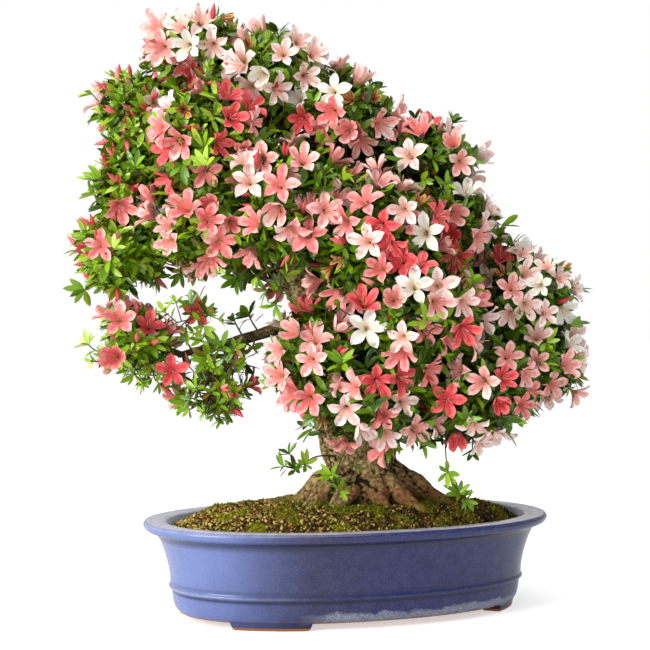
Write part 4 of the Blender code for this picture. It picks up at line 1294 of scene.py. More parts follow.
@dataclass
class Wood:
    """The trunk, its roots and the boughs, with the bark's relief."""

    trunk_line: tuple = (
        ((0.041, 0.000, GROUND - 0.010), 0.050), ((0.037, 0.000, 0.150), 0.043),
        ((0.030, 0.002, 0.190), 0.041), ((0.012, 0.004, 0.250), 0.036),
        ((-0.014, 0.006, 0.330), 0.029), ((-0.050, 0.004, 0.420), 0.021),
        ((-0.092, 0.002, 0.505), 0.014), ((-0.134, 0.000, 0.596), 0.006),
    )
    trunk_steps: int = 14
    # Buttress roots: heading in degrees, reach, the height each leaves the trunk at, radius there
    roots: tuple = (
        (6, 0.088, 0.147, 0.021), (322, 0.078, 0.141, 0.019), (283, 0.062, 0.143, 0.017),
        (240, 0.064, 0.146, 0.018), (205, 0.074, 0.150, 0.019), (172, 0.084, 0.148, 0.018),
        (130, 0.070, 0.145, 0.017), (88, 0.062, 0.145, 0.018), (46, 0.076, 0.143, 0.018),
    )
    surface_root: tuple = (176, 0.112)
    knob_centre: tuple = (0.145, 0.035, GROUND)
    knob_radii: tuple = (0.013, 0.010, 0.009)
    # Rings along and sides round the tubes
    trunk_mesh: tuple = (60, 40)
    root_mesh: tuple = (20, 20)
    bough_rings: int = 44
    bough_sides: int = 16
    voxel: float = 0.0017
    # The depth of the bark's cracks and the height of its lumps
    trunk_relief: tuple = (0.0036, 0.0056)
    bough_relief: tuple = (0.0040, 0.0040)
    knob_relief: tuple = (0.0040, 0.0030)
    # How thick a bough or the knob counts for its relief, and wood that has the whole of it
    bough_thick: float = 0.008
    knob_thick: float = 0.030
    full_thick: float = 0.030
    # How far round to look for folds, how deep a whole one is and how far wood runs into the soil
    fold_rounds: int = 5
    fold_depth: float = 0.0012
    buried: float = 0.012
    limbs: dict = field(default_factory=dict)
    root_limbs: list = field(default_factory=list)

    def lay_out(self) -> None:
        """Work out every limb's line from the named sizes."""
        rows = [(*place, radius) for place, radius in self.trunk_line]
        self.limbs["trunk"] = Limb.through(rows, self.trunk_steps)
        middle = Vector(self.trunk_line[0][0])
        for heading, reach, leaves_at, radius in self.roots:
            out = level_way(math.radians(heading))
            side = Vector((-out.y, out.x, 0.0)) * 0.010 * noise.noise(Vector((heading * 0.37, 2.0, 0.0)))
            level = upward(GROUND - middle.z)
            fat = 1 + 0.50 * noise.noise(Vector((heading * 0.61, 5.0, 0.0)))
            start = middle + out * 0.020 + upward(leaves_at + 0.006 - middle.z)
            shoulder = middle + out * reach * 0.60 + side + level + upward(1.15 * radius * fat)
            knee = middle + out * reach * 0.86 + side * 2 + level + upward(0.006 * fat)
            end = middle + out * reach * 1.04 + side * 3 + level - upward(0.006)
            sizes = (0.86, 0.84 * fat, 0.66 * fat, 0.44)
            rows = [(*p, radius * size) for p, size in zip((start, shoulder, knee, end), sizes)]
            self.root_limbs.append(Limb.through(rows, 10))
        heading, reach = self.surface_root
        out = level_way(math.radians(heading))
        ground = Vector((middle.x, middle.y, GROUND))
        self.root_limbs.append(Limb([ground + out * reach * s for s in (0.55, 0.75, 1.0)],
                                    [0.009, 0.007, 0.0035]))
        for bough in BOUGHS:
            self.limbs[bough.name] = self.bough_limb(bough)

    def bough_limb(self, bough: Bough) -> Limb:
        """The line of a bough from its parent's middle to the edge of the mass it ends in.

        Args:
            bough: The bough.

        Returns:
            Its limb.
        """
        start = self.limbs[bough.parent].at(bough.leaves_at)[0]
        space = Space(MASS[bough.mass])
        back = (start - space.centre).normalized()
        depth = 0.80 if space.mass.airy else 0.86
        end = Vector(bough.ends_at or space.centre + back * space.solid_reach(back) * depth)
        middle = start.lerp(end, 0.5) + Vector(bough.bend)
        line = smooth_line((start, middle, end), bough.steps)
        return Limb(line, [bough.base + (bough.tip - bough.base) * (i / (bough.steps - 1))
                           for i in range(bough.steps)])

    def everything(self) -> list[Limb]:
        """All limbs and roots."""
        return [*self.limbs.values(), *self.root_limbs]

    @staticmethod
    def tube_into(shape: Shape, limb: Limb, rings: int, sides: int) -> None:
        """Add a closed tube along a limb to a shape.

        Args:
            shape: The shape to add to.
            limb: The limb.
            rings: How many rings along it.
            sides: How many sides.
        """
        line, made = limb.eased(rings), []
        for i, place in enumerate(line.points):
            way = (line.points[min(i + 1, rings - 1)] - line.points[max(i - 1, 0)]).normalized()
            square = across(way)
            made += [shape.verts.new(place + swing(*square, TURN * k / sides) * line.radii[i])
                     for k in range(sides)]
        for face in between_rings(rings, sides):
            shape.faces.new([made[i] for i in face])
        shape.faces.new(reversed(made[:sides]))
        shape.faces.new(made[-sides:])

    def round_trunk(self, co: Array) -> tuple[Array, Array]:
        """Places unrolled from the trunk, so that a pattern runs up it and out along its roots.

        Args:
            co: The places.

        Returns:
            The unrolled places and how thick the wood is there.
        """
        rows = self.limbs["trunk"].samples()
        order = np.argsort(rows[:, 2])
        axis = np.stack([np.interp(co[:, 2], rows[order, 2], rows[order, i]) for i in (0, 1)], 1)
        away = co[:, :2] - axis
        far = np.linalg.norm(away, axis=1)
        turn = np.arctan2(away[:, 1], away[:, 0])
        girth = 0.5 * (np.minimum(0.042, far * 1.1) + far)
        spot = np.stack([np.cos(turn) * girth, np.sin(turn) * girth, 0.42 * (co[:, 2] - 0.8 * far)], 1)
        return spot, np.minimum(far, self.full_thick)

    @staticmethod
    def hollows(piece: Piece, rounds: int) -> Array:
        """How deep each corner lies below its neighbours, in metres, above 0 in a fold.

        Args:
            piece: The mesh object.
            rounds: How far round each corner to look.

        Returns:
            One number a corner.
        """
        mesh = piece.data
        count, co = len(mesh.vertices), corners(mesh)
        ends = np.zeros(len(mesh.edges) * 2, int)
        mesh.edges.foreach_get("vertices", ends)
        ends = ends.reshape(-1, 2)
        links = np.bincount(ends.ravel(), minlength=count)[:, None]
        eased = co.copy()
        for _ in range(rounds):
            total = np.zeros_like(eased)
            np.add.at(total, ends[:, 0], eased[ends[:, 1]])
            np.add.at(total, ends[:, 1], eased[ends[:, 0]])
            eased = total / np.maximum(links, 1)
        return ((eased - co) * corners(mesh, "normal")).sum(1)

    def carve(self, piece: Piece, spots: Array, thick: Array, depth: float, lumps: float) -> None:
        """Give a mesh the bark's relief: lumps, and cracks that run along the wood.

        Args:
            piece: The mesh object, which is changed.
            spots: Where each corner reads the pattern.
            thick: How thick the wood is at each corner.
            depth: The relief's depth on wood 60 mm thick, in metres.
            lumps: The height of broad lumps, in metres.
        """
        mesh = piece.data
        co, normals = corners(mesh), corners(mesh, "normal")
        rows = []
        for spot, place in zip(spots, co):
            spot, place = Vector(spot), Vector(place)
            rows.append((noise.noise(spot * 38 + Vector((5, 0, 0))), noise.noise(place * 300),
                         1 - 2.2 * abs(noise.noise(spot * 95)), noise.noise(place * 34),
                         1 - 3.4 * abs(noise.noise(spot * 22 + Vector((0, 9, 0))))))
        plate, fine, crack, lump, seam = np.array(rows).T
        crack, seam = np.maximum(crack, 0) ** 2, np.maximum(seam, 0) ** 3
        size = np.minimum(1.0, thick / self.full_thick)
        shift = (0.50 * plate + 0.20 * fine - 0.14 * crack - 0.85 * seam) * depth * size + lump * lumps * size
        co += normals * shift[:, None]
        co[:, 2] = np.maximum(co[:, 2], GROUND - self.buried)
        mesh.vertices.foreach_set("co", co.ravel())
        mesh.update()
        # The relief mark is low in cracks and seams, and in concave folds as painted shade
        folds = np.clip(self.hollows(piece, self.fold_rounds) / self.fold_depth, -0.5, 1.0)
        mark(piece, "relief", np.clip(0.60 + 0.22 * plate + 0.34 * fine - 0.12 * crack - 0.20 * seam
                                      - 0.62 * folds, 0, 1))

    def trunk_piece(self, finish: Finish) -> None:
        """The trunk and its roots as one carved mesh.

        Args:
            finish: The bark's material.
        """
        shape = bmesh.new()
        trunk = self.limbs["trunk"]
        core = [r * min(1.0, 0.68 + 0.32 * (p.z - GROUND) / 0.066) for p, r in zip(trunk.points, trunk.radii)]
        self.tube_into(shape, Limb(trunk.points, core), *self.trunk_mesh)
        for root in self.root_limbs:
            self.tube_into(shape, root, *self.root_mesh)
        piece = from_shape("trunk_bark", shape, finish)
        join = piece.modifiers.new("one_skin", "REMESH")
        join.mode = "VOXEL"
        join.voxel_size = self.voxel
        ease = piece.modifiers.new("ease", "SMOOTH")
        ease.factor = 0.6
        ease.iterations = 6
        graph = bpy.context.evaluated_depsgraph_get()
        piece.data = bpy.data.meshes.new_from_object(piece.evaluated_get(graph))
        piece.modifiers.clear()
        piece.data.shade_smooth()
        piece.data.materials.clear()
        piece.data.materials.append(finish)
        self.carve(piece, *self.round_trunk(corners(piece.data)), *self.trunk_relief)
        settle(piece, "bark", "trunk")

    def bough_piece(self, finish: Finish) -> None:
        """Every bough as one carved mesh.

        Args:
            finish: The bark's material.
        """
        shape = bmesh.new()
        for bough in BOUGHS:
            limb = self.limbs[bough.name].eased(self.bough_rings)
            start = next((i for i, place in enumerate(limb.points) if bough.parent != "trunk"
                          or self.outside_trunk(place)), 0)
            points, radii = (row[max(start - 3, 0):] for row in (limb.points, limb.radii))
            for i, place in enumerate(points):
                knot = 1 + 0.28 * max(0.0, noise.noise(place * 42 + upward(4)))
                radii[i] = radii[i] * knot * (1 + 0.55 * max(0.0, 1 - i / 7) ** 2)
            self.tube_into(shape, Limb(points, radii), 2 * len(points), self.bough_sides)
        piece = from_shape("bough_bark", shape, finish)
        co = corners(piece.data)
        self.carve(piece, co, np.full(len(co), self.bough_thick), *self.bough_relief)
        settle(piece, "bark", *[bough.name for bough in BOUGHS])

    def outside_trunk(self, place: Vector) -> bool:
        """Whether a place is outside the trunk."""
        spots = (self.limbs["trunk"].at(i / 80) for i in range(81))
        return min((spot - place).length - radius for spot, radius, _ in spots) > 0

    def knob_piece(self, finish: Finish) -> None:
        """The old root knob, half out of the soil.

        Args:
            finish: The bark's material.
        """
        shape = bmesh.new()
        bmesh.ops.create_icosphere(shape, subdivisions=5, radius=1.0)
        bmesh.ops.scale(shape, vec=self.knob_radii, verts=shape.verts)
        bmesh.ops.translate(shape, vec=self.knob_centre, verts=shape.verts)
        piece = from_shape("old_root_knob", shape, finish)
        co = corners(piece.data)
        self.carve(piece, co, np.full(len(co), self.knob_thick), *self.knob_relief)
        settle(piece, "bark", "root_knob")

    def build(self) -> None:
        """All of the wood's pieces."""
        bark = BarkFinish().build()
        self.trunk_piece(bark)
        darker = BarkFinish("bough_bark", screen(20, 15, 8), screen(66, 52, 30), screen(112, 96, 62),
                            warm_top=0.0, moss_top=0.0)
        self.bough_piece(darker.build())
        redder = BarkFinish("root_knob_bark", screen(46, 24, 18), screen(112, 62, 44), screen(160, 106, 84),
                            warm_top=0.2, moss_top=0.121)
        self.knob_piece(redder.build())


# How far the petals of each kind of flower lift, and how often a fresh one is of each kind
CURLS = {"spread": (-0.32, 0.10), "funnel": (0.20, 0.60), "opening": (0.85, 1.15), "withered": (0.4, 1.3)}
KINDS = {"spread": 0.38, "funnel": 0.47, "opening": 0.15}


class Patterns:
    """The small meshes that the crown is made of: leaves, petals, stamens and buds."""

    def __init__(self, rng: Random) -> None:
        """Make every variant once.

        Args:
            rng: Seeded chance.
        """
        self.leaves = [self.leaf(rng.uniform(0.10, 0.30), rng.uniform(-0.05, 0.25), rng.uniform(-0.12, 0.12))
                       for _ in range(6)]
        self.petals = {name: [self.petal(rng.uniform(*curl), rng.uniform(0.3, 1.4), rng.uniform(-0.16, 0.16),
                                         rng.uniform(0.88, 1.06)) for _ in range(5)]
                       for name, curl in CURLS.items()}
        self.stamens = [self.stamen_tuft(rng) for _ in range(4)]
        self.buds = [self.bud(rng.uniform(0.85, 1.15)) for _ in range(3)]

    @staticmethod
    def leaf(fold: float, droop: float, sway: float) -> Pattern:
        """A narrow pointed leaf of length 1 along +Z, its face to +Y.

        Args:
            fold: How far its halves fold up from the midrib.
            droop: How far its tip curls back.
            sway: How far its tip swings aside.

        Returns:
            The pattern, 12 triangles.
        """
        points, half = [(0.0, 0.0, 0.0)], 0.166
        for along, wide in ((0.24, 0.62), (0.54, 1.0), (0.82, 0.70)):
            back = -droop * along ** 2
            shift = sway * along ** 2
            points += [(shift - half * wide, back + fold * half * wide * 1.6, along),
                       (shift, back, along),
                       (shift + half * wide, back + fold * half * wide * 1.6, along)]
        points.append((sway, -droop, 1.0))
        faces = [(0, 2, 1), (0, 3, 2), (1, 2, 5, 4), (2, 3, 6, 5), (4, 5, 8, 7), (5, 6, 9, 8),
                 (7, 8, 10), (8, 9, 10)]
        return Pattern.of(points, faces)

    @staticmethod
    def petal(curl: float, cup: float, sway: float, wide: float) -> Pattern:
        """One petal with its share of the tube, for a flower of radius 1 opening along +Z.

        Args:
            curl: How far it lifts; above 1 it closes over the throat.
            cup: How far its edges rise.
            sway: How far its tip swings aside.
            wide: Its width against the usual one.

        Returns:
            The pattern, with the zones that PETAL_ZONES names.
        """
        stations = ((0.0, 0.05, 0.0, 0.05), (0.15, 0.14, 0.20, 0.12), (0.30, 0.27, 0.37, 0.20),
                    (0.46, 0.44, 0.48, 0.262), (0.62, 0.61, 0.54, 0.284), (0.78, 0.78, 0.56, 0.228),
                    (0.91, 0.92, 0.55, 0.120), (1.0, 1.03, 0.50, 0.010))
        points, faces, zones = [], [], []
        columns = (-1.0, -0.6, -0.2, 0.2, 0.6, 1.0)
        parting = 0.28
        for share, radius, height, half in stations:
            free = held((share - parting) / 0.25)
            lift = curl * free * (share - parting)
            radius_now = radius * (1 - 0.42 * max(lift, 0.0) * (1.3 if curl > 0.8 else 0.8))
            for v in columns:
                w = half * wide * v
                angle = w / max(radius_now, 0.05)
                bent = Vector((radius_now * math.cos(angle), radius_now * math.sin(angle)))
                spot = bent.lerp(Vector((radius_now, w)), free)
                wave = 0.042 * math.sin(share * 11 + v * 2.2 + sway * 30) * abs(v)
                rise = height + lift * 0.9 + (cup * 0.13 * v * v + wave - 0.026 * (abs(v) < 0.3)) * free
                points.append((spot.x, spot.y + sway * free * share * 0.4, rise))
        middle, last = (len(columns) - 1) // 2, len(columns) - 2
        for i in range(len(stations) - 1):
            for j in range(last + 1):
                a = i * len(columns) + j
                faces.append((a, a + len(columns), a + len(columns) + 1, a + 1))
                if i == 0:
                    zones.append(0)
                elif j == middle and i < 5:
                    zones.append(4)
                elif i < 3:
                    zones.append(1)
                else:
                    zones.append(3 if i > 4 or j in (0, last) else 2)
        return Pattern.of(points, faces, zones)

    @staticmethod
    def stamen_tuft(rng: Random) -> Pattern:
        """Five stamens and a longer style that curve out of the throat.

        Args:
            rng: Seeded chance.

        Returns:
            The pattern.
        """
        heap = Heap()
        for k in range(6):
            turn = TURN * k / 6 + rng.uniform(-0.2, 0.2)
            out, far = rng.uniform(0.10, 0.26), (1.12 if k == 0 else rng.uniform(0.75, 0.95))
            path = [[(0, 0, 0.2), (math.cos(turn) * out * 0.5, math.sin(turn) * out * 0.5, 0.55),
                     (math.cos(turn) * out, math.sin(turn) * out, far)]]
            heap.add_tubes(np.array(path), np.array([[0.018, 0.015, 0.018]]), 3)
        return Pattern.of(np.concatenate(heap.points).tolist(), [tuple(f) for f in heap.faces])

    @staticmethod
    def bud(stout: float) -> Pattern:
        """A pointed, slightly twisted bud of length 1 along +Z, with green sepals at its foot.

        Args:
            stout: Its thickness against the usual one.

        Returns:
            The pattern, with the sepals as zone 1.
        """
        rings = ((0.0, 0.05), (0.14, 0.10), (0.38, 0.138), (0.64, 0.118), (0.85, 0.06), (1.0, 0.01))
        sides, points = 6, []
        for height, radius in rings:
            for k in range(sides):
                a = TURN * k / sides + height * 1.1
                wide = radius * stout * (1.12 if k % 2 else 0.92)
                points.append((wide * math.cos(a), wide * math.sin(a), height))
        faces = between_rings(len(rings), sides)
        zones = [0 if i >= sides else 1 for i in range(len(faces))]
        return Pattern.of(points, faces, zones)


@dataclass
class Bloom:
    """One flower: its throat, the way it opens, its size and its colouring."""

    throat: Vector
    way: Vector
    size: float
    tint: Tint


@dataclass
class Shoot:
    """The end of one twig: its place and heading, how near the outside it is, and what it carries."""

    tip: Vector
    way: Vector
    outer: float
    bloom: Bloom | None = None
    buds: int = 0
    leafage: float = 1.0


@dataclass(frozen=True)
class Viewpoint:
    """Where the photographed front is seen from."""

    place: tuple = (-0.004, -1.6, 0.3158)
    lens: float = 79.5
    sensor: float = 36.0
    frame: int = 650

    def ray(self, across_px: float, down_px: float) -> tuple[Vector, Vector]:
        """The line of sight through a place in the frame.

        Args:
            across_px: Its distance from the left side.
            down_px: Its distance from the top.

        Returns:
            Where the line starts and its heading.
        """
        focal = self.lens / self.sensor * self.frame
        middle = self.frame / 2
        way = Vector(((across_px - middle) / focal, 1.0, (middle - down_px) / focal)).normalized()
        return Vector(self.place), way


# Flowers that stand out on the front, by colouring, where each was read in the frame
NOTED_BLOOMS = {
    Tint.WHITE: (
        (188, 45), (298, 98), (151, 214), (263, 74), (333, 91), (425, 233), (414, 286),
        (367, 328), (540, 285)),
    Tint.PALE: (
        (156, 103), (213, 46), (240, 60), (251, 88), (306, 76), (299, 41), (249, 181), (409, 155),
        (367, 242), (404, 210), (439, 287), (526, 305), (546, 313), (561, 277), (575, 336), (581, 364),
        (486, 280), (526, 274), (522, 253), (346, 410)),
    Tint.PINK: (
        (157, 28), (163, 48), (261, 160), (303, 160), (277, 210), (361, 143), (461, 162), (454, 213),
        (340, 197), (248, 254), (294, 332), (315, 340), (394, 299), (479, 238), (512, 288), (508, 356),
        (537, 361), (577, 395), (483, 382), (279, 375), (353, 387)),
    Tint.SALMON: (
        (280, 119), (244, 152), (280, 184), (179, 143), (206, 172), (186, 207), (211, 207), (120, 207),
        (332, 112), (354, 133), (364, 200), (435, 212), (344, 223), (308, 234), (254, 223), (220, 242),
        (100, 245), (180, 278), (380, 268), (277, 285), (120, 319), (115, 357), (401, 354), (431, 371),
        (294, 393), (343, 445), (379, 448), (523, 405)),
    Tint.CORAL: (
        (195, 72), (180, 88), (232, 117), (381, 226), (401, 261), (449, 235), (501, 257), (198, 312),
        (172, 371), (464, 330), (490, 332), (377, 382), (504, 378)),
    Tint.FADED: ((228, 19), (249, 45), (184, 110), (350, 98), (376, 158), (501, 273), (322, 419)),
}
# Buds that stand out, in the same frame
NOTED_BUDS = (
    (184, 27), (236, 33), (207, 12), (368, 96), (389, 315), (405, 315), (137, 336), (155, 339),
    (112, 251), (75, 262), (168, 287), (241, 352), (300, 292), (377, 419), (315, 362),
)
# How many short leafy twigs each limb has on its way to its mass
CLOTHED = {
    "trunk": 46, "bough_left": 16, "bough_inner_left": 8, "bough_upper_left": 10, "bough_top_left": 6,
    "bough_top_right": 6, "bough_shoulder": 9, "bough_right_shoulder": 11, "bough_right_upper": 11,
    "bough_right": 12, "bough_right_low": 12, "bough_front_right": 8, "bough_front_low": 8,
    "bough_low_left": 9, "bough_hanging": 4,
}


@dataclass(frozen=True)
class Trail:
    """A long thin twig that hangs clear: the mass it comes from, if any, the places that it passes
    and the tips of its side shoots."""

    mass: str
    places: tuple
    tips: tuple


TRAILS = (
    Trail("crown_low_left", ((-0.172, -0.034, 0.316), (-0.152, -0.034, 0.322), (-0.134, -0.030, 0.328)),
          ((-0.166, -0.040, 0.340), (-0.150, -0.046, 0.338), (-0.154, -0.040, 0.308), (-0.136, -0.040, 0.314),
           (-0.120, -0.026, 0.322), (-0.142, -0.026, 0.346), (-0.178, -0.044, 0.330))),
    Trail("crown_inner_left", ((-0.082, -0.078, 0.392), (-0.064, -0.090, 0.374), (-0.050, -0.088, 0.350)),
          ((-0.066, -0.092, 0.352), (-0.044, -0.096, 0.368), (-0.038, -0.088, 0.346), (-0.056, -0.092, 0.336),
           (-0.074, -0.092, 0.366), (-0.034, -0.086, 0.358))),
    Trail("", ((0.010, -0.022, 0.172), (-0.014, -0.046, 0.173), (-0.036, -0.056, 0.161)),
          ((-0.043, -0.060, 0.178), (-0.049, -0.058, 0.164), (-0.025, -0.060, 0.166))),
    Trail("crown_low_right", ((0.127, -0.062, 0.208), (0.127, -0.066, 0.164), (0.139, -0.066, 0.136)),
          ((0.126, -0.072, 0.159), (0.146, -0.070, 0.129))),
    Trail("crown_low_front", ((0.026, -0.056, 0.196), (0.010, -0.080, 0.166), (0.007, -0.086, 0.148)),
          ((0.002, -0.090, 0.158), (0.026, -0.086, 0.168), (0.011, -0.090, 0.141))),
)


@dataclass
class Crown:
    """Twigs, leaves, buds and flowers of every mass, grown on from the limbs."""

    wood: Wood
    view: Viewpoint
    # The shoots of a mass of the usual bulk, the product of its radii
    shoots_each: int = 168
    usual_bulk: float = 0.000219
    branches: int = 13
    leaf_length: float = 0.0215
    flower_radius: float = 0.0215
    flower_depth: float = 0.55
    # Noted flowers right of this place in the frame are smaller, by this much
    small_from: float = 495.0
    small: float = 0.86
    # How many flowers a mass of share 1 is offered, and the least distance between two
    flowers_each: int = 64
    flowers_apart: float = 0.026
    # The chance of each further flower on a noted one's shoot and on another's, and their distance
    noted_truss: float = 0.55
    other_truss: float = 0.42
    truss_apart: float = 0.019
    # The share of a flower's radius round its middle, and the depth before it, that leaves keep out of
    open_mouth: float = 0.60
    open_depth: float = 0.028
    # The radii that each kind of twig starts and ends with
    branch_radii: tuple = (0.0021, 0.0013)
    fork_radii: tuple = (0.0013, 0.0010)
    shoot_radii: tuple = (0.0010, 0.0008)
    side_radii: tuple = (0.0013, 0.0008)
    hanging_radii: tuple = (0.0009, 0.0006)
    # Twigs that start thicker than this have five sides and others three
    stout_twig: float = 0.0012
    # How many leaves a whorl has, by chance, and how far round each stands from the one before
    whorl: tuple = (5, 6, 6, 7)
    leaf_turn: float = 2.4
    # The colour number of the innermost leaves, dealt dark as painted shade inside the crown, what the
    # outermost add and how far it strays
    inner_tone: float = 0.6
    outer_tone: float = 3.9
    tone_stray: float = 0.6
    # A faded flower's share of its size, and the chance that a petal has its neighbour tint
    withered_size: float = 0.72
    odd_petal: float = 0.08
    # A bud's shortest and greatest length, and how often it has each colour
    bud_length: tuple = (0.015, 0.023)
    bud_shares: tuple = (0.4, 0.32, 0.2, 0.08)
    # How many leaves are tested at a time
    batch: int = 2000
    shoots: dict = field(default_factory=dict)
    paths: dict = field(default_factory=dict)
    leaves: dict = field(default_factory=dict)
    blooms: list = field(default_factory=list)
    spaces: dict = field(default_factory=lambda: {mass.name: Space(mass) for mass in MASSES})
    patterns: Patterns = field(default_factory=lambda: Patterns(Random(SEED + 7)))

    def build(self) -> None:
        """Grow every mass, then join leaves, twigs, flowers and buds by region."""
        for region in Region:
            self.paths[region], self.leaves[region] = [], []
        for mass in MASSES:
            self.shoots[mass.name] = []
        self.note_blooms()
        for number, mass in enumerate(MASSES):
            self.add_blooms(mass, Random(SEED * 1000 + number))
        for number, mass in enumerate(MASSES):
            self.grow(mass, Random(SEED * 2000 + number))
        for number, (name, count) in enumerate(CLOTHED.items()):
            self.clothe(name, count, Random(SEED * 3000 + number))
        self.grow_trails()
        self.dress_leaves()
        self.dress_twigs()
        self.dress_blossom()

    def hit(self, across_px: float, down_px: float) -> tuple[Mass, Vector, Vector]:
        """Where a line of sight first meets a mass.

        Args:
            across_px: How far across the frame.
            down_px: How far down.

        Returns:
            The mass, the place on it and the way out of its surface there.
        """
        start, way = self.view.ray(across_px, down_px)
        best = None
        for mass in MASSES:
            radii = np.array(mass.radii) * 0.97
            o = (np.array(start) - np.array(mass.centre)) / radii
            d = np.array(way) / radii
            a, b, c = d @ d, o @ d, o @ o - 1
            inside = b * b - a * c
            t = (-b - math.sqrt(max(inside, 0.0))) / a
            miss = math.sqrt(max(c - b * b / a, 0.0)) if inside < 0 else 0.0
            score = t + 40 * miss * min(mass.radii)
            if best is None or score < best[0]:
                place = start + way * t
                normal = Vector([(place[i] - mass.centre[i]) / mass.radii[i] ** 2 for i in range(3)])
                best = (score, mass, place, normal.normalized())
        return best[1:]

    def note_blooms(self) -> None:
        """Place the flowers and buds that stand out on the front."""
        rng = Random(SEED + 5)
        for tint, spots in NOTED_BLOOMS.items():
            for across_px, down_px in spots:
                mass, place, out = self.hit(across_px, down_px)
                towards = (Vector(self.view.place) - place).normalized()
                off = stray(rng, 0.52)
                way = (out * 0.60 + towards * 0.60 + off).normalized()
                if mass.sparse:
                    way = (out * 0.25 + towards * 0.95 + off * 0.6).normalized()
                size = self.flower_radius * rng.uniform(0.88, 1.04)
                if across_px > self.small_from:
                    size *= self.small
                placed = self.place_bloom(mass, place, way, size, tint)
                if placed and tint is not Tint.FADED and not mass.sparse:
                    self.add_truss(mass, self.blooms[-1], rng, self.noted_truss)
        for across_px, down_px in NOTED_BUDS:
            mass, place, out = self.hit(across_px, down_px)
            way = (out + Vector((0, -0.2, 0.25))).normalized()
            self.shoots[mass.name].append(Shoot(place - way * 0.020, way, 1.0, buds=1))

    def place_bloom(self, mass: Mass, mouth: Vector, way: Vector, size: float, tint: Tint) -> bool:
        """Add a flower on a shoot of its own unless a limb is in the way.

        Args:
            mass: The mass that carries it.
            mouth: The middle of its mouth.
            way: The way it opens.
            size: Its radius.
            tint: Its colouring.

        Returns:
            Whether it was added.
        """
        throat = mouth - way * size * self.flower_depth
        for limb in self.wood.limbs.values():
            rows = limb.samples(0.006)
            if (np.linalg.norm(rows[:, :3] - np.array(mouth), axis=1) < rows[:, 3] + size * 0.7).any():
                return False
        bloom = Bloom(throat, way, size, tint)
        self.blooms.append(bloom)
        self.shoots[mass.name].append(Shoot(throat, way, 1.0, bloom))
        return True

    def crowded(self, mouth: Vector, apart: float) -> bool:
        """Whether a flower's mouth would lie nearer than that to another's."""
        return any((b.throat + b.way * b.size * self.flower_depth - mouth).length < apart
                   for b in self.blooms)

    def add_truss(self, mass: Mass, bloom: Bloom, rng: Random, chance: float) -> None:
        """Give a flower one or two more from the same shoot, turned away from it.

        Args:
            mass: The mass.
            bloom: The first flower.
            rng: Seeded chance.
            chance: The chance of each of the two.
        """
        space, turn = self.spaces[mass.name], rng.uniform(0, TURN)
        for k in range(2):
            if rng.random() > chance:
                continue
            aside = swing(*across(bloom.way), turn + k * rng.uniform(1.8, 3.4))
            way = (bloom.way + aside * rng.uniform(0.45, 0.95)).normalized()
            mouth = bloom.throat + bloom.way * bloom.size * 0.6 + aside * bloom.size * rng.uniform(1.1, 1.5)
            out = mouth - space.centre
            if self.crowded(mouth, self.truss_apart) or out.length > space.reach(out.normalized()) + 0.004:
                continue
            same = bloom.tint is not Tint.WHITE and rng.random() < 0.75
            tint = bloom.tint if same else pick(rng, mass.palette.weights())
            self.place_bloom(mass, mouth, way, bloom.size * rng.uniform(0.88, 1.0), tint)

    def add_blooms(self, mass: Mass, rng: Random) -> None:
        """Flowers by chance on every open side of a mass.

        Args:
            mass: The mass.
            rng: Seeded chance.
        """
        space = self.spaces[mass.name]
        for way in spread(int(self.flowers_each * mass.flowers), rng, 0.12):
            if not space.open_towards(way) or (way.z < -0.75 and rng.random() < 0.6):
                continue
            if mass.sparse and way.y < 0.1 and rng.random() < 0.85:
                continue
            mouth = space.centre + way * (space.reach(way) - rng.uniform(0.004, 0.015))
            if self.crowded(mouth, self.flowers_apart):
                continue
            heading = (way + stray(rng, 0.5) + Vector((0, -0.12, 0.08))).normalized()
            size = self.flower_radius * rng.uniform(0.84, 1.02)
            placed = self.place_bloom(mass, mouth, heading, size, pick(rng, mass.palette.weights()))
            if placed and not mass.sparse:
                self.add_truss(mass, self.blooms[-1], rng, self.other_truss)

    def stem(self, mass: Mass) -> Limb:
        """The stem of a mass, from its bough's tip or the trunk to its middle.

        Args:
            mass: The mass.

        Returns:
            Its limb.
        """
        space = self.spaces[mass.name]
        carriers = {"crown_tip": "trunk", **{bough.mass: bough.name for bough in BOUGHS}}
        if mass.name in carriers:
            start, radius, way = self.wood.limbs[carriers[mass.name]].at(1.0)
            start = start - way * 0.004
        else:
            trunk = self.wood.limbs["trunk"]
            start = min((trunk.at(i / 60) for i in range(61)),
                        key=lambda spot: (spot[0] - space.centre).length - spot[1])[0]
            radius = 0.0065
        end = space.centre + (space.centre - start).normalized() * (0.018 if mass.airy else 0.008)
        points = smooth_line((start, start.lerp(end, 0.5) + upward(0.003), end), 6)
        return Limb(points, [radius + (0.0024 - radius) * i / 5 for i in range(6)])

    def add_path(self, region: Region, points: list, base: float, tip: float) -> None:
        """Keep one twig, through two to four places and from one radius to another, as four rings."""
        self.paths[region].append((np.array(smooth_line(points, 4)), np.linspace(base, tip, 4)))

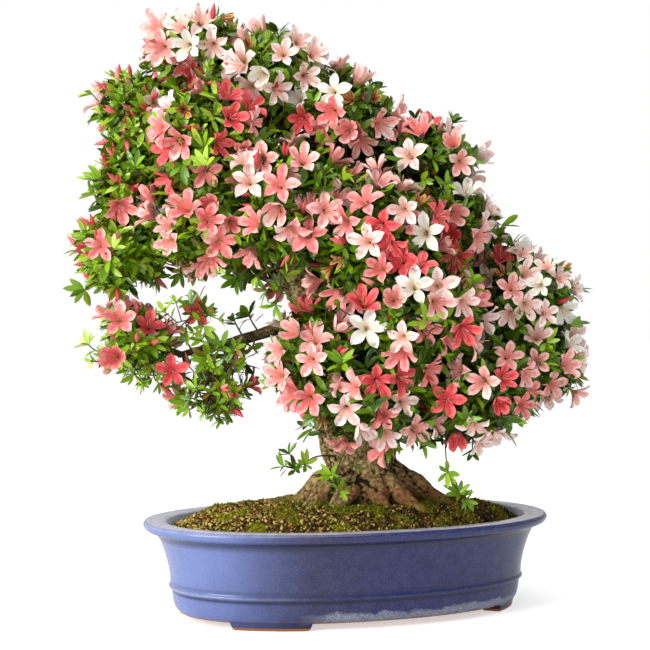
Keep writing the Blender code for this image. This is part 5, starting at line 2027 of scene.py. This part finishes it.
    def grow(self, mass: Mass, rng: Random) -> None:
        """Grow one mass: a stem, branches, forks and shoots, with what each shoot carries.

        Args:
            mass: The mass.
            rng: Seeded chance.
        """
        space, region = self.spaces[mass.name], mass.region
        stem = self.stem(mass)
        self.add_path(region, [stem.at(s)[0] for s in (0, 0.35, 0.7, 1)], stem.radii[0], stem.radii[-1])
        self.add_shoots(mass, rng)
        joints = []
        for k, way in enumerate(spread(self.branches, rng)):
            start = stem.at(0.30 + 0.68 * ((k * 0.618) % 1.0))[0]
            end = space.centre + way * space.reach(way) * 0.52
            bow = start.lerp(end, 0.5) + Vector((rng.uniform(-1, 1), rng.uniform(-1, 1), -0.6)) * 0.004
            line = smooth_line((start, bow, end), 5)
            self.add_path(region, [start, bow, end], *self.branch_radii)
            joints += [(line[j], 0.010 * (4 - j) * 0.3, []) for j in (2, 3, 4)]
        for shoot in self.shoots[mass.name]:
            min(joints, key=lambda joint: (joint[0] - shoot.tip).length + joint[1])[2].append(shoot)
        for joint, _, group in joints:
            group.sort(key=lambda s: math.atan2((s.tip - joint).y, (s.tip - joint).x))
            for start in range(0, len(group), 4):
                self.fork(region, joint, group[start:start + 4], rng)

    def fork(self, region: Region, joint: Vector, group: list, rng: Random) -> None:
        """Twigs from one joint to a few shoots that lie the same way.

        Args:
            region: Their region.
            joint: The joint.
            group: The shoots.
            rng: Seeded chance.
        """
        middle = sum((s.tip - s.way * 0.012 for s in group), Vector()) / len(group)
        knee = joint.lerp(middle, 0.50)
        self.add_path(region, [joint, joint.lerp(knee, 0.5) - upward(0.001), knee], *self.fork_radii)
        for shoot in group:
            root = shoot.tip - shoot.way * min(0.014, (shoot.tip - knee).length * 0.5)
            self.add_path(region, [knee, root, shoot.tip], *self.shoot_radii)
            self.leaf_spray(region, root, shoot, rng)

    def add_shoots(self, mass: Mass, rng: Random) -> None:
        """Leafy shoots all round a mass, thickest near its outside.

        Args:
            mass: The mass.
            rng: Seeded chance.
        """
        space, shoots = self.spaces[mass.name], self.shoots[mass.name]
        for tip in mass.tips:
            way = (Vector(tip) - space.centre).normalized()
            shoots.append(Shoot(Vector(tip) - way * 0.020, way, 1.0))
        count = int(self.shoots_each * mass.density * (np.prod(mass.radii) / self.usual_bulk) ** 0.5)
        for i, way in enumerate(spread(count, rng, 0.12)):
            inner = i % 4 == 3 or (i % 2 and not space.open_towards(way))
            far = space.reach(way)
            if inner:
                length = far * rng.uniform(0.35, 0.70)
            elif rng.random() < 0.14:
                length = far - rng.uniform(-0.001, 0.010)
            else:
                length = far - rng.uniform(0.013, 0.025)
            heading = (way * 0.8 + upward(0.42) + stray(rng, 0.4)).normalized()
            tip = space.centre + way * max(length, 0.012)
            buds = 0 if inner or rng.random() > mass.buds * 0.6 else rng.choice((1, 2, 2, 3))
            shoots.append(Shoot(tip, heading, 0.35 if inner and not mass.airy else 1.15, buds=buds,
                                leafage=0.78 if mass.airy else 1.0))

    def leaf_spray(self, region: Region, root: Vector, shoot: Shoot, rng: Random) -> None:
        """A whorl of leaves at a shoot's tip and a few below it, all in near tints.

        Args:
            region: Their region.
            root: Where its last stretch starts.
            shoot: The shoot.
            rng: Seeded chance.
        """
        way, square = shoot.way, across(shoot.way)
        turn = rng.uniform(0, TURN)
        # Leaves deep in the crown and low on a shoot get darker tints as painted shade, and leaves towards
        # the left lighter ones as painted light from that side
        tone = self.inner_tone + self.outer_tone * shoot.outer * rng.uniform(0.52, 1.0)
        tone = tone + rng.gauss(0, self.tone_stray) + held(-(shoot.tip.x + 0.06) / 0.13, -0.5, 1.4)
        size = self.leaf_length * rng.uniform(0.78, 1.12) * shoot.leafage
        count = rng.choice(self.whorl) if shoot.bloom is None else 5
        below = 3 if shoot.leafage == 1.0 else 1
        for i in range(count + below):
            low = i >= count
            lean = rng.uniform(1.0, 1.5) if low or shoot.bloom else rng.uniform(0.55, 1.2)
            out = swing(*square, turn + self.leaf_turn * i)
            heading = swing(way, out, lean).normalized()
            place = shoot.tip.lerp(root, rng.uniform(0.3, 0.9)) if low \
                else shoot.tip - way * (0.004 if shoot.bloom else 0.0015)
            face = way - heading * way.dot(heading)
            if face.length < 0.1:
                face = out
            rolled = heading.cross(face).normalized() * rng.uniform(-0.45, 0.45)
            face = (face.normalized() + rolled).normalized()
            length = size * rng.uniform(0.8, 1.1) * (0.9 if low else 1.0)
            slot = held(int(round(tone + rng.gauss(0, self.tone_stray) - (0.6 if low else 0))), 0, 7)
            if rng.random() < (0.16 if shoot.outer < 0.8 else 0.03):
                slot = rng.choice((8, 8, 9))
            self.leaves[region].append((place, heading, face, length, slot))

    def clothe(self, name: str, count: int, rng: Random) -> None:
        """Short leafy twigs along a limb, where it runs from the trunk to its mass.

        Args:
            name: The limb.
            count: How many twigs.
            rng: Seeded chance.
        """
        limb = self.wood.limbs[name]
        on_trunk = name == "trunk"
        for i in range(count):
            share = 0.24 + (0.70 if on_trunk else 0.74) * (i + rng.random()) / count
            place, radius, way = limb.at(share)
            out = swing(*across(way), rng.uniform(0, TURN))
            if on_trunk and out.y > 0.2:
                out = Vector((out.x, -out.y, out.z))
            heading = (out + way * 0.35 + upward(0.15)).normalized()
            tip = place + heading * (radius + rng.uniform(0.014, 0.048 if on_trunk else 0.030))
            region = Region.UPPER if tip.z > 0.50 else Region.MIDDLE if tip.z > 0.37 else Region.LOWER
            self.add_path(region, [place, place.lerp(tip, 0.5) - upward(0.002), tip], *self.side_radii)
            self.leaf_spray(region, place.lerp(tip, 0.4), Shoot(tip, heading, 0.7), rng)

    def grow_trails(self) -> None:
        """The shoot on the trunk and the long twigs that hang out of the crown."""
        rng = Random(SEED + 9)
        for trail in TRAILS:
            start = (MASS[trail.mass].centre,) if trail.mass else ()
            line = smooth_line((*start, *trail.places), 13)
            for i in range(0, 12, 3):
                self.add_path(Region.LOWER, line[i:i + 4], 0.0013 - 0.00006 * i, 0.0011 - 0.00006 * i)
            for tip in [Vector(place) for place in trail.tips] + [line[-1]]:
                joint = min(line[4:], key=lambda p: (p - tip).length + max(0.0, tip.z - p.z) * 0.3)
                heading = ((tip - joint) + Vector((0, -0.004, 0.004))).normalized()
                self.add_path(Region.LOWER, [joint, tip], *self.hanging_radii)
                self.leaf_spray(Region.LOWER, joint, Shoot(tip, heading, 1.3, leafage=0.84), rng)

    def dress_leaves(self) -> None:
        """Join the leaves by region, leaving out any that cross a limb or cover a flower's mouth."""
        rng = Random(SEED + 6)
        limbs = np.concatenate([limb.samples(0.004) for limb in self.wood.everything()])
        mouths = np.array([b.throat + b.way * b.size * 0.75 for b in self.blooms])
        ways = np.array([b.way for b in self.blooms])
        sizes = np.array([b.size for b in self.blooms])
        finishes = [PlainFinish(f"leaf_{i}", colour, 0.33).build() for i, colour in enumerate(LEAF_COLOURS)]
        for region, rows in self.leaves.items():
            place, heading, face, length, slot = (np.array(column) for column in zip(*rows))
            keep = np.ones(len(rows), bool)
            for share in (0.5, 0.95):
                spot = place + heading * (length * share)[:, None]
                for start in range(0, len(rows), self.batch):
                    part = spot[start:start + self.batch]
                    apart = np.linalg.norm(part[:, None] - limbs[None, :, :3], axis=2)
                    keep[start:start + self.batch] &= (apart > limbs[None, :, 3] + 0.001).all(1)
                    gap = part[:, None] - mouths[None]
                    ahead = (gap * ways[None]).sum(2)
                    beside = np.linalg.norm(gap - ahead[:, :, None] * ways[None], axis=2)
                    covers = ((ahead > -0.35 * sizes) & (ahead < self.open_depth)
                              & (beside < self.open_mouth * sizes))
                    keep[start:start + self.batch] &= ~covers.any(1)
            side = np.cross(face, heading)
            turns = np.stack([side, face, heading], -1) * length[:, None, None]
            variant = np.array([rng.randrange(len(self.patterns.leaves)) for _ in rows])
            heap = Heap()
            for i, pattern in enumerate(self.patterns.leaves):
                chosen = keep & (variant == i)
                heap.add(pattern, turns[chosen], place[chosen], slot[chosen])
            nodes = [mass.name for mass in MASSES if mass.region is region]
            if region is Region.LOWER:
                nodes.append("shoot_left")
            settle(heap.piece(f"leaves_{region.value}", finishes), "foliage", *nodes)

    def dress_twigs(self) -> None:
        """Join the twigs by region."""
        finish = PlainFinish("twig_bark", TWIG_COLOUR, 0.8, shine=0.3).build()
        for region, rows in self.paths.items():
            heap = Heap()
            for stout, sides in ((True, 5), (False, 3)):
                group = [row for row in rows if (row[1][0] > self.stout_twig) == stout]
                heap.add_tubes(*(np.array(column) for column in zip(*group)), sides)
            settle(heap.piece(f"twigs_{region.value}", [finish]), "bark")

    @staticmethod
    def flower_turn(bloom: Bloom, rng: Random) -> Array:
        """The turn that opens a flower along its way with one petal near the top.

        Args:
            bloom: The flower.
            rng: Seeded chance.

        Returns:
            A 3 by 3 matrix.
        """
        up = upward(1) - bloom.way * bloom.way.z
        first = up.normalized() if up.length > 0.15 else across(bloom.way)[0]
        first = Matrix.Rotation(rng.uniform(-0.35, 0.35), 3, bloom.way) @ first
        second = bloom.way.cross(first).normalized()
        return np.array([first, second, bloom.way]).T

    def dress_blossom(self) -> None:
        """Join petals with their stamens, and the buds."""
        rng = Random(SEED + 8)
        tints = list(Tint)
        finishes = [PlainFinish(f"petal_{tint.value}_{zone}", colour, 0.55, 0.12, 0.35).build()
                    for tint in tints for zone, colour in zip(PETAL_ZONES, PETAL_COLOURS[tint])]
        finishes.append(PlainFinish("stamens", STAMEN_COLOUR, 0.6).build())
        patterns = self.patterns
        every = [*(petal for group in patterns.petals.values() for petal in group), *patterns.stamens]
        first = {state: 5 * i for i, state in enumerate(patterns.petals)}
        tufts = range(len(every) - len(patterns.stamens), len(every))
        rows: tuple[list, list] = ([], [])
        for number, bloom in enumerate(self.blooms):
            turn = self.flower_turn(bloom, rng)
            withered = bloom.tint is Tint.FADED
            state = "withered" if withered else pick(rng, KINDS)
            size = bloom.size * (self.withered_size if withered else 1.0)
            for k in range(5):
                roll = np.array(Matrix.Rotation(TURN * k / 5 + rng.uniform(-0.09, 0.09), 3, "Z"))
                stretch = np.diag([rng.uniform(0.90, 1.06)] * 2 + [rng.uniform(0.95, 1.15)])
                if withered:
                    stretch = np.diag([0.8, 0.62, rng.uniform(0.8, 1.3)])
                tint = bloom.tint
                if tint in (Tint.SALMON, Tint.PINK) and rng.random() < self.odd_petal:
                    tint = Tint.PALE if tint is Tint.PINK else Tint.PINK
                chosen = first[state] + rng.randrange(5)
                rows[number % 2].append((chosen, turn @ roll @ stretch * size, bloom.throat,
                                         tints.index(tint) * len(PETAL_ZONES)))
            if not withered:
                rows[number % 2].append((rng.choice(tufts), turn * bloom.size, bloom.throat,
                                         len(PETAL_ZONES) * len(tints)))
        for half, placed in enumerate(rows):
            heap = Heap()
            heap.deal(every, placed)
            settle(heap.piece(f"blossom_{half + 1}", finishes), "blossom")
        log.info("flowers: %d", len(self.blooms))
        self.dress_buds(rng)

    def dress_buds(self, rng: Random) -> None:
        """Join the buds, dealt from red to pale.

        Args:
            rng: Seeded chance.
        """
        sepal = PlainFinish("sepals", SEPAL_COLOUR, 0.6).build()
        finishes = []
        for i, colour in enumerate(BUD_COLOURS):
            finishes += [PlainFinish(f"bud_{i}", colour, 0.45).build(), sepal]
        heap, rows = Heap(), []
        for mass in MASSES:
            for shoot in self.shoots[mass.name]:
                for _ in range(shoot.buds):
                    way = (shoot.way + stray(rng, 0.35)).normalized()
                    turn = np.array([*across(way), way]).T * rng.uniform(*self.bud_length)
                    slot = 2 * rng.choices(range(4), self.bud_shares)[0]
                    rows.append((rng.randrange(len(self.patterns.buds)), turn, shoot.tip, slot))
        heap.deal(self.patterns.buds, rows)
        settle(heap.piece("buds", finishes), "blossom")


@dataclass
class Studio:
    """A plain pale floor, soft light from the left and above, and the camera."""

    view: Viewpoint
    floor_size: float = 60.0
    floor_glow: float = 0.38
    table_light: float = 0.16
    surround: float = 0.55
    # Each lamp's name, place, aim, side and power
    lamps: tuple = (("key_light", (-1.9, -1.6, 1.0), (0, 0, 0.33), 1.2, 62.0),
                    ("top_light", (0.1, -0.5, 2.2), (0, 0, 0.3), 1.4, 18.0))

    def floor(self) -> None:
        """The pale floor that the pot stands on, a little lit from within as a light table is."""
        points = np.array([(-1, -1, 0), (1, -1, 0), (1, 1, 0), (-1, 1, 0)]) * self.floor_size / 2
        finish = PlainFinish("pale_floor", (0.84, 0.84, 0.83), 0.9, shine=0.1).build()
        tree = finish.node_tree
        glow = tree.nodes["Principled BSDF"].inputs
        glow["Emission Color"].default_value = (1.0, 1.0, 1.0, 1.0)
        tree.links.new(camera_glow(tree, self.floor_glow, self.table_light), glow["Emission Strength"])
        make_piece("studio_floor", points, [[0, 1, 2, 3]], [finish])

    @staticmethod
    def lamp(name: str, place: tuple, aim: tuple, size: float, power: float) -> None:
        """One square soft light.

        Args:
            name: Its name.
            place: Where it hangs.
            aim: What it points at.
            size: The length of its side.
            power: Its power in watts.
        """
        data = bpy.data.lights.new(name, "AREA")
        data.shape = "SQUARE"
        data.size = size
        data.energy = power
        lamp = bpy.data.objects.new(name, data)
        lamp.location = place
        lamp.rotation_euler = (Vector(aim) - Vector(place)).to_track_quat("-Z", "Y").to_euler()
        bpy.context.scene.collection.objects.link(lamp)

    def build(self) -> None:
        """Floor, light and camera."""
        self.floor()
        world = bpy.data.worlds.new("studio")
        world.use_nodes = True
        tree = world.node_tree
        backdrop = tree.nodes["Background"].inputs
        backdrop["Color"].default_value = (1.0, 1.0, 1.0, 1.0)
        tree.links.new(camera_glow(tree, 1.0 - self.surround, self.surround), backdrop["Strength"])
        scene = bpy.context.scene
        scene.world = world
        scene.view_settings.view_transform = "Standard"
        for lamp in self.lamps:
            self.lamp(*lamp)
        camera = bpy.data.cameras.new("camera")
        camera.lens = self.view.lens
        camera.sensor_width = self.view.sensor
        holder = bpy.data.objects.new("camera", camera)
        holder.location = self.view.place
        holder.rotation_euler = (math.radians(90), 0, 0)
        scene.collection.objects.link(holder)
        scene.camera = holder


def main() -> None:
    """Build every piece in order."""
    logging.basicConfig(level=logging.INFO, format="%(name)s: %(message)s")
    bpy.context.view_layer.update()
    view = Viewpoint()
    Studio(view).build()
    pot = Pot()
    pot.build()
    Soil(pot).build()
    wood = Wood()
    wood.lay_out()
    wood.build()
    Crown(wood, view).build()


if __name__ == "__main__":
    main()
